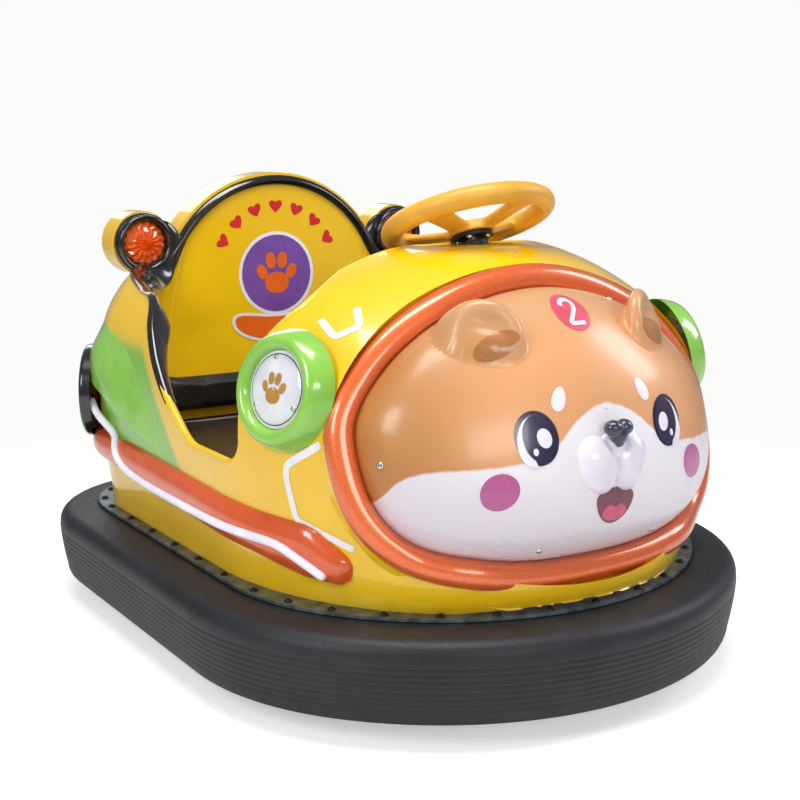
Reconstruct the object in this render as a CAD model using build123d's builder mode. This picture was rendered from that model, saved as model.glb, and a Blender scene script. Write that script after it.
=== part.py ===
"""Electric bumper car with an animal-face nose, in millimetres.

The car's front is -Y, up is +Z and the origin is on the floor below the middle of the bumper.
A rubber bumper ring lies round a welded chassis.  A glass-fibre tub with a hood, a rounded nose
and a high backrest is screwed to a steel flange plate on top of the ring.
"""
import os
from math import atan, cos, degrees, radians, sin, sqrt, tan

from build123d import *

os.makedirs("parts", exist_ok=True)

# ---- Driving dimensions ----
# Bumper ring
bumper_length = 1460
bumper_width = 1150
bumper_bottom = 43
bumper_height = 155
bumper_thickness = 118
bumper_front_depth = 528      # from the nose of the ring back to its widest section
bumper_corner = 320
bumper_taper = 6
bumper_shoulder = 26

# Flange plate and chassis
flange_inset = 90
flange_width = 62
flange_thickness = 6
rim_bar = 8
rim_depth = 110
rail_size = 40
rail_spacing = 340
rail_z = 118
pan_thickness = 3

# Body shell
wall = 12
body_top = 790
face_lean = 0.324             # how far the nose leans back for each unit of height
face_radius = 1200            # the nose ring lies on a cylinder of this radius
face_y = -497
face_z = 495
ring_half_width = 393
ring_half_height = 257
ring_tube = 50
dome_depth = 150
ear_x = 150
ear_y = -505
ear_z = 650
ear_width = 110
ear_thick = 34
ear_height = 62
muzzle_z = 454
muzzle_y = -657
nose_z = 506
nose_y = -668
hood_split = 665
hood_rear = -235
lip = 0.5

# Backrest
arch_radius = 300
arch_z = 609
backrest_front = 535
backrest_rear = 600
backrest_bottom = 360
backrest_half = 290
trim_width = 26
trim_depth = 12
lamp_x = 330
lamp_z = 758
lamp_ear = 70
lamp_bezel = 61
lamp_lens = 50

# Side trim pieces
roundel_x = 445
roundel_y = -333
roundel_z = 569
roundel_turn = 15
roundel_tip = 12
roundel_radius = 93
disc_radius = 65
haunch_out = 20
pod_out = 24
tube_size = 14

# Wheels and steering
front_wheel_y = -440
front_wheel_diameter = 200
front_tyre_width = 60
rear_wheel_y = 400
rear_wheel_x = 320
rear_wheel_diameter = 104
rear_tyre_width = 36
axle_diameter = 20
running_gap = 0.05
steer_tilt = 22
wheel_hub_y = -252
wheel_hub_z = 806
wheel_diameter = 330
wheel_rim = 40
wheel_dish = 30
hub_radius = 40
shaft_diameter = 24
stem_diameter = 30
head_z = 235
head_length = 50

# Seat
seat_front = 20
seat_rear = 470
seat_half = 392
seat_top = 365
seat_thickness = 60
seat_sheet = 8
back_pad_half = 340
back_pad_height = 105
back_pad_thickness = 55

bumper_top = bumper_bottom + bumper_height
body_base = bumper_top + flange_thickness
front_end = -bumper_length / 2
rear_end = bumper_length / 2
pan_z = rail_z + rail_size

# Body plan sections: height, half width, front, widest, rear, rear corner
BODY = [
    (body_base, 460, -625, -120, 600, 210),
    (300, 468, -655, -130, 608, 212),
    (420, 478, -690, -145, 614, 215),
    (540, 476, -680, -145, 612, 215),
    (640, 444, -590, -130, 606, 205),
    (720, 358, -480, -120, 600, 170),
    (772, 235, -400, -140, 595, 115),
    (body_top, 120, -330, -170, 590, 60),
]


def plan_loop(half, front, wide, rear, corner):
    """Closed plan outline: a three-centred oval front, straight sides and two rounded rear corners."""
    depth = wide - front
    spread = half * half + 2 * half * depth + 2 * depth * depth
    side_radius = depth * depth / half
    side_x = half - side_radius
    joint_x = half * (half + depth) ** 2 / spread
    joint_y = wide + (half - depth) * (half + 2 * depth) / (2 * depth)
    joint_y -= half * half * (half + depth) * (half + 2 * depth) / (2 * depth * spread)
    chord_x = (joint_x + half) / 2 - side_x
    chord_y = (joint_y + wide) / 2 - wide
    reach = side_radius / sqrt(chord_x**2 + chord_y**2)
    mid_x = side_x + chord_x * reach
    mid_y = wide + chord_y * reach
    knee = corner * (1 - sqrt(0.5))
    ThreePointArc((-joint_x, joint_y), (0, front), (joint_x, joint_y))
    ThreePointArc((joint_x, joint_y), (mid_x, mid_y), (half, wide))
    Line((half, wide), (half, rear - corner))
    ThreePointArc((half, rear - corner), (half - knee, rear - knee), (half - corner, rear))
    Line((half - corner, rear), (corner - half, rear))
    ThreePointArc((corner - half, rear), (knee - half, rear - knee), (-half, rear - corner))
    Line((-half, rear - corner), (-half, wide))
    ThreePointArc((-half, wide), (-mid_x, mid_y), (-joint_x, joint_y))


def bumper_loop(inset):
    """The bumper's plan outline, moved inwards."""
    plan_loop(
        bumper_width / 2 - inset,
        front_end + inset,
        front_end + bumper_front_depth,
        rear_end - inset,
        bumper_corner - inset,
    )


def body_sections(out, low=body_base, high=body_top):
    """The body's plan sections, grown outwards by a distance, from a lowest to a highest level."""
    faces = []
    for z, half, front, wide, rear, corner in BODY:
        level = low if z == body_base else high if z == body_top else z
        with BuildSketch(Plane.XY.offset(level)) as section:
            with BuildLine():
                plan_loop(half + out, front - out, wide, rear + out, corner + out)
            make_face()
        faces.append(section.sketch.faces()[0])
    return faces


# The nose ring's plane: local X is across the car, local Y is up along the leaning face
face_tilt = atan(face_lean)
face_plane = Plane(
    origin=(0, face_y, face_z),
    x_dir=(1, 0, 0),
    z_dir=(0, -cos(face_tilt), sin(face_tilt)),
)


def face_cylinder(radius, mode=Mode.ADD):
    """The upright cylinder, leaning with the face, that the nose ring lies on."""
    barrel = Plane(
        origin=face_plane.from_local_coords((0, -700, -face_radius)),
        x_dir=(1, 0, 0),
        z_dir=face_plane.y_dir,
    )
    with BuildSketch(barrel) as disc:
        Circle(radius)
    extrude(disc.sketch, amount=1400, mode=mode)


# The steering axis: local Z points up out of the wheel, towards the driver
steer_plane = Plane(
    origin=(0, wheel_hub_y, wheel_hub_z),
    x_dir=(1, 0, 0),
    z_dir=(0, sin(radians(steer_tilt)), cos(radians(steer_tilt))),
)
joint_drop = (wheel_hub_y - front_wheel_y) / sin(radians(steer_tilt))
joint_z = wheel_hub_z - joint_drop * cos(radians(steer_tilt))

# Tool solids ------------------------------------------------------------------------------
with BuildPart() as loaf:
    loft(body_sections(0))

with BuildPart() as loaf_inside:
    loft(body_sections(-wall, low=body_base - 20, high=body_top - wall))

with BuildPart() as loaf_haunch:
    loft(body_sections(haunch_out))

with BuildPart() as loaf_pod:
    loft(body_sections(pod_out))

with BuildPart() as loaf_tube:
    loft(body_sections(pod_out + 3))

with BuildPart() as loaf_slot:
    loft(body_sections(pod_out - 11))

with BuildPart() as nose_cut:
    with BuildSketch(face_plane):
        Ellipse(ring_half_width + ring_tube / 2, ring_half_height + ring_tube / 2)
    extrude(amount=600, both=True)
    face_cylinder(face_radius - ring_tube / 2, mode=Mode.SUBTRACT)

# ---- Bumper ring ----
with BuildPart() as bumper_ring:
    with BuildSketch(Plane.XY.offset(bumper_top)):
        with BuildLine():
            bumper_loop(0)
        make_face()
    extrude(amount=-bumper_height, taper=bumper_taper)
    shoulder = bumper_ring.faces().sort_by(Axis.Z)[-1].edges()
    fillet(shoulder, bumper_shoulder)
    foot = bumper_ring.faces().sort_by(Axis.Z)[0].edges()
    fillet(foot, bumper_shoulder * 0.6)
    with BuildSketch(Plane.XY.offset(bumper_top)):
        with BuildLine():
            bumper_loop(bumper_thickness)
        make_face()
    extrude(amount=-bumper_height, mode=Mode.SUBTRACT)
bumper_ring.part.label = "bumper_ring"
export_step(bumper_ring.part, "parts/bumper_ring.step")

# ---- Flange plate ----
with BuildPart() as flange_plate:
    with BuildSketch(Plane.XY.offset(bumper_top)):
        with BuildLine():
            bumper_loop(flange_inset)
        make_face()
        with BuildLine():
            bumper_loop(flange_inset + flange_width)
        make_face(mode=Mode.SUBTRACT)
    extrude(amount=flange_thickness)
flange_plate.part.label = "flange_plate"
export_step(flange_plate.part, "parts/flange_plate.step")

# ---- Chassis frame: rim bar, two rails, cross members, steering head bridge, rear brackets ----
rim_outer = bumper_thickness + lip
head_post = 150
bridge_z = head_z + 5
bracket_gap = 8
bracket_plate = 6
rear_axle_z = rear_wheel_diameter / 2
bracket_x = rear_tyre_width / 2 + bracket_gap + bracket_plate / 2
with BuildPart() as chassis_frame:
    with BuildSketch(Plane.XY.offset(bumper_top)):
        with BuildLine():
            bumper_loop(rim_outer)
        make_face()
        with BuildLine():
            bumper_loop(rim_outer + rim_bar)
        make_face(mode=Mode.SUBTRACT)
    extrude(amount=-rim_depth)
    with BuildSketch(Plane.XY.offset(rail_z)) as members:
        with GridLocations(rail_spacing, 0, 2, 1):
            Rectangle(rail_size, bumper_length)
        with Locations((0, front_wheel_y + 150), (0, 40), (0, rear_wheel_y)):
            Rectangle(bumper_width, rail_size)
        with BuildLine():
            bumper_loop(rim_outer + rim_bar / 2)
        make_face(mode=Mode.INTERSECT)
    extrude(amount=rail_size)
    # steering head: two posts, a bridge plate and a bearing tube
    with Locations((0, front_wheel_y, 0)):
        with GridLocations(2 * head_post, 0, 2, 1):
            with Locations((0, 0, (pan_z + bridge_z) / 2)):
                Box(rail_size * 0.75, 60, bridge_z - pan_z)
        with Locations((0, 0, bridge_z + 4)):
            Box(2 * head_post + rail_size * 0.75, 80, 8)
        with Locations((0, 0, head_z + head_length / 2)):
            Cylinder(stem_diameter / 2 + 10, head_length)
            Cylinder(stem_diameter / 2 + running_gap, head_length * 2, mode=Mode.SUBTRACT)
    # rear wheel brackets, two plates a side, hung from the rear cross member
    for side in (-1, 1):
        for edge in (-1, 1):
            with BuildSketch(Plane.YZ.offset(side * rear_wheel_x + edge * bracket_x)):
                with Locations((rear_wheel_y, (rail_z + rear_axle_z) / 2)):
                    Rectangle(rail_size, rail_z - rear_axle_z + 2)
                with Locations((rear_wheel_y, rear_axle_z)):
                    Circle(rail_size / 2)
                    Circle(axle_diameter / 2 + running_gap, mode=Mode.SUBTRACT)
            extrude(amount=bracket_plate / 2, both=True)
chassis_frame.part.label = "chassis_frame"
export_step(chassis_frame.part, "parts/chassis_frame.step")

# ---- Floor pan with the seat box folded up from it ----
foot_edge = front_wheel_y + 150 + rail_size / 2
seat_box_top = seat_top - seat_thickness
with BuildPart() as floor_pan:
    with BuildSketch(Plane.XY.offset(pan_z)):
        with BuildLine():
            bumper_loop(rim_outer + rim_bar + 2)
        make_face()
        with Locations((0, foot_edge - 500)):
            Rectangle(bumper_width, 1000, mode=Mode.SUBTRACT)
    extrude(amount=pan_thickness)
    with Locations((0, (seat_front + seat_rear) / 2, pan_z)):
        Box(
            2 * seat_half - 40,
            seat_rear - seat_front - 20,
            seat_box_top - pan_z,
            align=(Align.CENTER, Align.CENTER, Align.MIN),
        )
    with Locations((0, (seat_front + seat_rear) / 2, pan_z + pan_thickness)):
        Box(
            2 * (seat_half - seat_sheet) - 40,
            seat_rear - seat_front - 20 - 2 * seat_sheet,
            seat_box_top - pan_z - pan_thickness - seat_sheet,
            align=(Align.CENTER, Align.CENTER, Align.MIN),
            mode=Mode.SUBTRACT,
        )
floor_pan.part.label = "floor_pan"
export_step(floor_pan.part, "parts/floor_pan.step")

# ---- Battery box ----
with BuildPart() as battery_box:
    with Locations((0, (seat_front + seat_rear) / 2, pan_z + pan_thickness)):
        Box(320, 220, 110, align=(Align.CENTER, Align.CENTER, Align.MIN))
    fillet(battery_box.edges().filter_by(Axis.Z), 8)
battery_box.part.label = "battery_box"
export_step(battery_box.part, "parts/battery_box.step")

# ---- Body tub and hood: one hollow loaf, cut for the nose and the cockpit, then parted ----
with BuildPart() as cockpit_cut:
    with BuildSketch(Plane.YZ):
        with BuildLine():
            FilletPolyline(
                (hood_rear, body_top + 200),
                (hood_rear, 760),
                (-268, 705),
                (-232, 600),
                (-228, 418),
                (-20, 420),
                (90, 500),
                (245, 664),
                (540, 712),
                (560, body_top + 200),
                radius=[15, 30, 60, 50, 90, 150, 60, 20],
            )
            Line((560, body_top + 200), (hood_rear, body_top + 200))
        make_face()
    extrude(amount=bumper_width, both=True)

with BuildPart() as body_shell:
    add(loaf.part)
    add(loaf_inside.part, mode=Mode.SUBTRACT)
    add(nose_cut.part, mode=Mode.SUBTRACT)
    add(cockpit_cut.part, mode=Mode.SUBTRACT)
    with Locations((0, 800, 900)):
        Box(1400, 600, 420, mode=Mode.SUBTRACT)

with BuildPart() as hood_region:
    with Locations((0, hood_rear, hood_split)):
        Box(1200, 800, 400, align=(Align.CENTER, Align.MAX, Align.MIN))

with BuildPart() as body_tub:
    add(body_shell.part)
    add(hood_region.part, mode=Mode.SUBTRACT)
body_tub.part.label = "body_tub"
export_step(body_tub.part, "parts/body_tub.step")

dash_bottom = 470
column_radius = 28
with BuildPart() as front_hood:
    add(body_shell.part)
    add(hood_region.part, mode=Mode.INTERSECT)
    with BuildPart(mode=Mode.PRIVATE) as dash:
        add(loaf_inside.part)
        with Locations((0, hood_rear - 12, dash_bottom)):
            Box(1200, wall, 400, align=(Align.CENTER, Align.MAX, Align.MIN), mode=Mode.INTERSECT)
    add(dash.part)
    with BuildSketch(steer_plane.offset(-300)):
        Circle(column_radius + lip)
    extrude(amount=400, mode=Mode.SUBTRACT)
front_hood.part.label = "front_hood"
export_step(front_hood.part, "parts/front_hood.step")

# ---- Backrest: arched shell with two lamp ears ----
with BuildPart() as backrest_shell:
    with BuildSketch(Plane.XZ.offset(-backrest_rear)):
        with Locations((0, arch_z)):
            Circle(arch_radius)
        with Locations((-lamp_x, lamp_z), (lamp_x, lamp_z)):
            Circle(lamp_ear)
        with Locations((0, (lamp_z - lamp_ear * 0.8 + backrest_bottom) / 2)):
            Rectangle(2 * backrest_half, lamp_z - lamp_ear * 0.8 - backrest_bottom)
        with Locations((0, backrest_bottom - 200)):
            Rectangle(1000, 400, mode=Mode.SUBTRACT)
        for side in (-1, 1):
            with Locations((side * (backrest_half + 100), lamp_z - lamp_ear - 150)):
                Rectangle(200, 300, mode=Mode.SUBTRACT)
    extrude(amount=backrest_rear - backrest_front)
    add(body_tub.part, mode=Mode.SUBTRACT)
backrest_solid = backrest_shell.part.solids().sort_by(SortBy.VOLUME)[-1]
backrest_solid.label = "backrest_shell"
export_step(backrest_solid, "parts/backrest_shell.step")

# ---- Black edge trim along the arch ----
with BuildPart() as backrest_trim:
    with BuildSketch(Plane.XZ.offset(-backrest_front)):
        with Locations((0, arch_z)):
            Circle(arch_radius)
            Circle(arch_radius - trim_width, mode=Mode.SUBTRACT)
        with Locations((0, lamp_z - 70 - 300)):
            Rectangle(800, 600, mode=Mode.SUBTRACT)
    extrude(amount=trim_depth)
backrest_trim.part.label = "backrest_trim"
export_step(backrest_trim.part, "parts/backrest_trim.step")

# ---- Lamps on the backrest ears ----
bezel_depth = 22
lens_depth = 30
for side, name in ((-1, "right"), (1, "left")):
    face = Plane(
        origin=(side * lamp_x, backrest_front, lamp_z),
        x_dir=(1, 0, 0),
        z_dir=(0, -1, 0),
    )
    with BuildPart() as bezel:
        with BuildSketch(face):
            Circle(lamp_bezel)
            Circle(lamp_lens + lip, mode=Mode.SUBTRACT)
        extrude(amount=bezel_depth)
        fillet(bezel.faces().sort_by(Axis.Y)[0].edges().sort_by(SortBy.RADIUS)[-1], 6)
    bezel.part.label = f"lamp_bezel_{name}"
    with BuildPart() as lens:
        with BuildSketch(face):
            Circle(lamp_lens)
        extrude(amount=lens_depth)
        fillet(lens.faces().sort_by(Axis.Y)[0].edges(), 12)
    lens.part.label = f"lamp_lens_{name}"
    bezel_solid = bezel.part - backrest_trim.part
    bezel_solid.label = bezel.part.label
    export_step(bezel_solid, f"parts/lamp_bezel_{name}.step")
    export_step(lens.part, f"parts/lamp_lens_{name}.step")

# ---- Nose ring ----
with BuildPart() as face_ring:
    face_cylinder(face_radius + ring_tube / 2)
    face_cylinder(face_radius - ring_tube / 2, mode=Mode.SUBTRACT)
    with BuildSketch(face_plane.offset(-400)):
        Ellipse(ring_half_width + ring_tube / 2, ring_half_height + ring_tube / 2)
        Ellipse(ring_half_width - ring_tube / 2, ring_half_height - ring_tube / 2, mode=Mode.SUBTRACT)
    extrude(amount=600, mode=Mode.INTERSECT)
face_ring.part.label = "face_ring"
export_step(face_ring.part, "parts/face_ring.step")

# ---- Nose dome: a turned bowl stretched sideways, with two ears ----
dome_rx = ring_half_width - ring_tube / 2 - lip
dome_ry = ring_half_height - ring_tube / 2 - lip
with BuildPart() as face_dome:
    with BuildSketch(Plane.XZ):
        with BuildLine():
            Line((0, -80), (0, dome_depth))
            edge_r = dome_depth * 0.55
            ThreePointArc((0, dome_depth), (dome_ry * 0.6, dome_depth * 0.86), (dome_ry * 0.97, dome_depth * 0.3))
            Line((dome_ry * 0.97, dome_depth * 0.3), (dome_ry, 0))
            Line((dome_ry, 0), (dome_ry, -80))
            Line((dome_ry, -80), (0, -80))
        make_face()
    revolve(axis=Axis.Z)
bowl = scale(face_dome.part, by=(dome_rx / dome_ry, 1, 1))
bowl = face_plane.location * bowl
with BuildPart() as face_dome:
    add(bowl)
    for side in (-1, 1):
        ear_plane = Plane(
            origin=(side * ear_x, ear_y, ear_z),
            x_dir=(1, side * 0.35, 0),
            z_dir=(0, -0.62, 0.78),
        )
        ear = scale(Sphere(1, mode=Mode.PRIVATE), by=(ear_width / 2, ear_thick / 2, ear_height), mode=Mode.PRIVATE)
        add(ear_plane.location * ear)
    face_cylinder(face_radius - ring_tube / 2, mode=Mode.SUBTRACT)
face_dome.part.label = "face_dome"
export_step(face_dome.part, "parts/face_dome.step")

# ---- Muzzle pads and nose ----
with BuildPart() as muzzle:
    for side in (-1, 1):
        pad = scale(Sphere(1, mode=Mode.PRIVATE), by=(34, 28, 44), mode=Mode.PRIVATE)
        pad_plane = Plane(
            origin=(side * 29, muzzle_y, muzzle_z),
            x_dir=(1, 0, 0),
            z_dir=(-side * 0.26, 0.1, 0.96),
        )
        add(pad_plane.location * pad)
    add(face_dome.part, mode=Mode.SUBTRACT)
muzzle.part.label = "muzzle"

with BuildPart() as nose:
    tip = scale(Sphere(1, mode=Mode.PRIVATE), by=(24, 20, 23), mode=Mode.PRIVATE)
    add(Location((0, nose_y, nose_z)) * tip)
    add(face_dome.part, mode=Mode.SUBTRACT)
    add(muzzle.part, mode=Mode.SUBTRACT)
nose_solid = nose.part.solids().sort_by(SortBy.VOLUME)[-1]
nose_solid.label = "nose"
muzzle_solid = muzzle.part
muzzle_solid.label = "muzzle"
export_step(muzzle_solid, "parts/muzzle.step")
export_step(nose_solid, "parts/nose.step")

# ---- Side pieces, one set a side ----
# Outlines in side view, as (y, z) points with a corner radius for each
HAUNCH = [(210, 590), (60, 500), (-20, 425), (20, 372), (330, 352), (700, 330), (700, 592)]
HAUNCH_RADII = [40, 90, 30, 40, 40, 1, 1]
POD = [(520, 372), (200, 378), (0, 352), (-300, 362), (-420, 335), (-452, 262), (-395, 232), (-260, 266), (100, 290), (520, 312)]
POD_RADII = [25, 100, 200, 80, 40, 24, 24, 120, 200, 25]
TUBE_PATH = [(500, 470), (330, 372), (262, 318), (0, 308), (-320, 310), (-416, 262)]
TUBE_RADII = [60, 60, 150, 90]
tail_lamp_y = 505
tail_lamp_z = 445
tail_lens_z = 415
tail_bezel_radius = 100
tail_lens_radius = 54
tail_angle = 32

for side, name in ((-1, "right"), (1, "left")):
    view = Plane.YZ if side > 0 else Plane(origin=(0, 0, 0), x_dir=(0, 1, 0), z_dir=(-1, 0, 0))
    flip = 1 if side > 0 else -1

    # white light tube, let into the pod
    with BuildPart() as light_tube:
        with BuildSketch(view):
            with BuildLine() as path:
                FilletPolyline(*[(y, flip * z) for y, z in TUBE_PATH], radius=TUBE_RADII)
            trace(line_width=tube_size)
        extrude(amount=700)
        add(loaf_tube.part, mode=Mode.INTERSECT)
        add(loaf_slot.part, mode=Mode.SUBTRACT)
    light_tube.part.label = f"light_tube_{name}"

    # orange pod round the tube
    with BuildPart() as side_pod:
        with BuildSketch(view):
            with BuildLine():
                FilletPolyline(*[(y, flip * z) for y, z in POD], radius=POD_RADII, close=True)
            make_face()
        extrude(amount=700)
        add(loaf_pod.part, mode=Mode.INTERSECT)
        add(loaf.part, mode=Mode.SUBTRACT)
        add(light_tube.part, mode=Mode.SUBTRACT)
    side_pod.part.label = f"side_pod_{name}"

    # tail lamp bezel and lens on the rear corner
    tail_face = Plane(
        origin=(side * 455, tail_lamp_y, tail_lamp_z),
        x_dir=(-side * sin(radians(tail_angle)), cos(radians(tail_angle)), 0),
        z_dir=(side * cos(radians(tail_angle)), sin(radians(tail_angle)), 0),
    )
    with BuildPart() as tail_lens:
        with BuildSketch(tail_face):
            with Locations((0, side * (tail_lens_z - tail_lamp_z))):
                Circle(tail_lens_radius)
        extrude(amount=34)
        fillet(tail_lens.faces().sort_by(Axis(tail_face.origin, tail_face.z_dir))[-1].edges(), 9)
        add(side_pod.part, mode=Mode.SUBTRACT)
        add(light_tube.part, mode=Mode.SUBTRACT)
    tail_lens.part.label = f"tail_lens_{name}"
    with BuildPart() as tail_bezel:
        with BuildSketch(tail_face):
            Circle(tail_bezel_radius)
        extrude(amount=24)
        fillet(tail_bezel.faces().sort_by(Axis(tail_face.origin, tail_face.z_dir))[-1].edges(), 8)
        add(tail_lens.part, mode=Mode.SUBTRACT)
        add(side_pod.part, mode=Mode.SUBTRACT)
        add(light_tube.part, mode=Mode.SUBTRACT)
    tail_bezel.part.label = f"tail_bezel_{name}"

    # green haunch over the rear corner
    with BuildPart() as haunch:
        with BuildSketch(view):
            with BuildLine():
                FilletPolyline(*[(y, flip * z) for y, z in HAUNCH], radius=HAUNCH_RADII, close=True)
            make_face()
        extrude(amount=700)
        add(loaf_haunch.part, mode=Mode.INTERSECT)
        add(loaf.part, mode=Mode.SUBTRACT)
        with Locations((side * 200, 700, 500)):
            Box(400, 400, 1000, mode=Mode.SUBTRACT)
        add(side_pod.part, mode=Mode.SUBTRACT)
        add(light_tube.part, mode=Mode.SUBTRACT)
        add(tail_bezel.part, mode=Mode.SUBTRACT)
        add(tail_lens.part, mode=Mode.SUBTRACT)
    haunch.part.label = f"haunch_{name}"

    # green roundel and its white disc on the cowl
    roundel_face = Plane(
        origin=(side * roundel_x, roundel_y, roundel_z),
        x_dir=(-side * sin(radians(roundel_turn)), -cos(radians(roundel_turn)), 0),
        z_dir=(
            side * cos(radians(roundel_turn)) * cos(radians(roundel_tip)),
            -sin(radians(roundel_turn)) * cos(radians(roundel_tip)),
            sin(radians(roundel_tip)),
        ),
    )
    with BuildPart() as roundel:
        with BuildSketch(Plane.XZ):
            with BuildLine():
                Line((disc_radius + lip, -60), (disc_radius + lip, 4))
                ThreePointArc((disc_radius + lip, 4), (disc_radius + 17, 22), (roundel_radius, 0))
                Line((roundel_radius, 0), (roundel_radius, -60))
                Line((roundel_radius, -60), (disc_radius + lip, -60))
            make_face()
        revolve(axis=Axis.Z)
    with BuildPart() as disc:
        with BuildSketch(Plane.XZ):
            with BuildLine():
                Line((0, -60), (0, 16))
                ThreePointArc((0, 16), (disc_radius / 2, 13), (disc_radius, 6))
                Line((disc_radius, 6), (disc_radius, -60))
                Line((disc_radius, -60), (0, -60))
            make_face()
        revolve(axis=Axis.Z)
    roundel_solid = roundel_face.location * roundel.part - loaf.part
    roundel_solid.label = f"roundel_{name}"
    disc_solid = roundel_face.location * disc.part - loaf.part
    disc_solid.label = f"roundel_disc_{name}"
    for piece in (light_tube.part, side_pod.part, tail_lens.part, tail_bezel.part, haunch.part, roundel_solid, disc_solid):
        label = piece.label
        solid = piece.solids().sort_by(SortBy.VOLUME)[-1]
        if label.startswith("tail"):
            solid = (solid - loaf.part).solids().sort_by(SortBy.VOLUME)[-1]
        solid.label = label
        export_step(solid, f"parts/{label}.step")

# ---- Seat ----
with BuildPart() as seat_cushion:
    with BuildSketch(Plane.XY.offset(seat_box_top + lip)):
        with Locations((0, (seat_front + seat_rear) / 2)):
            RectangleRounded(2 * seat_half, seat_rear - seat_front, 60)
    extrude(amount=seat_thickness)
    fillet(seat_cushion.faces().sort_by(Axis.Z)[-1].edges(), 22)
seat_cushion.part.label = "seat_cushion"
export_step(seat_cushion.part, "parts/seat_cushion.step")

with BuildPart() as seat_back:
    with Locations((0, backrest_front - lip - back_pad_thickness / 2, seat_top + lip + 0.3 + back_pad_height / 2)):
        Box(2 * back_pad_half, back_pad_thickness, back_pad_height)
    fillet(seat_back.edges().filter_by(Axis.X), 20)
    fillet(seat_back.edges().filter_by(GeomType.LINE).filter_by(Axis.Y), 20)
seat_back.part.label = "seat_back"
export_step(seat_back.part, "parts/seat_back.step")

# ---- Steering wheel, hub plate, shaft and column ----
rim_radius = (wheel_diameter - wheel_rim) / 2
with BuildPart() as steering_wheel:
    with BuildSketch(Plane.XZ):
        with Locations((rim_radius, wheel_dish)):
            Circle(wheel_rim / 2)
    revolve(axis=Axis.Z)
    with BuildSketch(Plane.XY):
        Circle(hub_radius)
    extrude(amount=18)
    for angle in (0, 120, 240):
        spoke = Plane(
            origin=(38 * cos(radians(angle + 90)), 38 * sin(radians(angle + 90)), 10),
            x_dir=(-sin(radians(angle + 90)), cos(radians(angle + 90)), 0),
            z_dir=(
                (rim_radius - 38) * cos(radians(angle + 90)),
                (rim_radius - 38) * sin(radians(angle + 90)),
                wheel_dish - 10,
            ),
        )
        length = sqrt((rim_radius - 38) ** 2 + (wheel_dish - 10) ** 2)
        with BuildSketch(spoke):
            RectangleRounded(44, 14, 6)
        extrude(amount=length)
wheel_solid = steer_plane.location * steering_wheel.part
wheel_solid.label = "steering_wheel"
export_step(wheel_solid, "parts/steering_wheel.step")

with BuildPart() as hub_plate:
    Cylinder(hub_radius, 8, align=(Align.CENTER, Align.CENTER, Align.MAX))
hub_solid = steer_plane.location * hub_plate.part
hub_solid.label = "hub_plate"
export_step(hub_solid, "parts/hub_plate.step")

shaft_top = -8
shaft_length = joint_drop - 26
with BuildPart() as steering_shaft:
    with Locations((0, 0, shaft_top)):
        Cylinder(shaft_diameter / 2, shaft_length, align=(Align.CENTER, Align.CENTER, Align.MAX))
shaft_solid = steer_plane.location * steering_shaft.part
shaft_solid.label = "steering_shaft"
export_step(shaft_solid, "parts/steering_shaft.step")

column_top = -16
column_length = 150
with BuildPart() as column_housing:
    with Locations((0, 0, column_top)):
        Cylinder(column_radius, column_length, align=(Align.CENTER, Align.CENTER, Align.MAX))
    with Locations((0, 0, column_top)):
        Cylinder(
            shaft_diameter / 2 + running_gap,
            column_length,
            align=(Align.CENTER, Align.CENTER, Align.MAX),
            mode=Mode.SUBTRACT,
        )
column_solid = steer_plane.location * column_housing.part
strut_foot_y = front_wheel_y
strut_foot_z = bridge_z + 8
strut_top = steer_plane.from_local_coords((0, 0, column_top - column_length + 30))
with BuildPart() as column_housing:
    add(column_solid)
    for side in (-1, 1):
        foot = Vector(side * 120, strut_foot_y, strut_foot_z)
        top = Vector(side * 20, strut_top.Y, strut_top.Z)
        run = top - foot
        strut = Plane(origin=foot, z_dir=run)
        with BuildSketch(strut):
            Circle(10)
        extrude(amount=run.length)
    with BuildSketch(steer_plane) as bore:
        Circle(shaft_diameter / 2 + running_gap)
    extrude(amount=-400, mode=Mode.SUBTRACT)
    with Locations((0, 0, strut_foot_z)):
        Box(2000, 2000, 200, align=(Align.CENTER, Align.CENTER, Align.MAX), mode=Mode.SUBTRACT)
column_housing.part.label = "column_housing"
export_step(column_housing.part, "parts/column_housing.step")

# ---- Front fork and wheel ----
front_axle_z = front_wheel_diameter / 2
leg_inside = front_tyre_width / 2 + 8
crown_z = front_wheel_diameter + 12
with BuildPart() as steering_fork:
    with Locations((0, front_wheel_y, crown_z)):
        Box(2 * leg_inside + 16, 60, 10, align=(Align.CENTER, Align.CENTER, Align.MIN))
    with Locations((0, front_wheel_y, crown_z + 10)):
        Cylinder(stem_diameter / 2, joint_z - 14 - crown_z - 10, align=(Align.CENTER, Align.CENTER, Align.MIN))
    for side in (-1, 1):
        with BuildSketch(Plane.YZ.offset(side * (leg_inside + 4))):
            with Locations((front_wheel_y, (crown_z + front_axle_z) / 2)):
                Rectangle(40, crown_z - front_axle_z)
            with Locations((front_wheel_y, front_axle_z)):
                Circle(20)
                Circle(axle_diameter / 2 + running_gap, mode=Mode.SUBTRACT)
        extrude(amount=4, both=True)
steering_fork.part.label = "steering_fork"
export_step(steering_fork.part, "parts/steering_fork.step")


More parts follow.
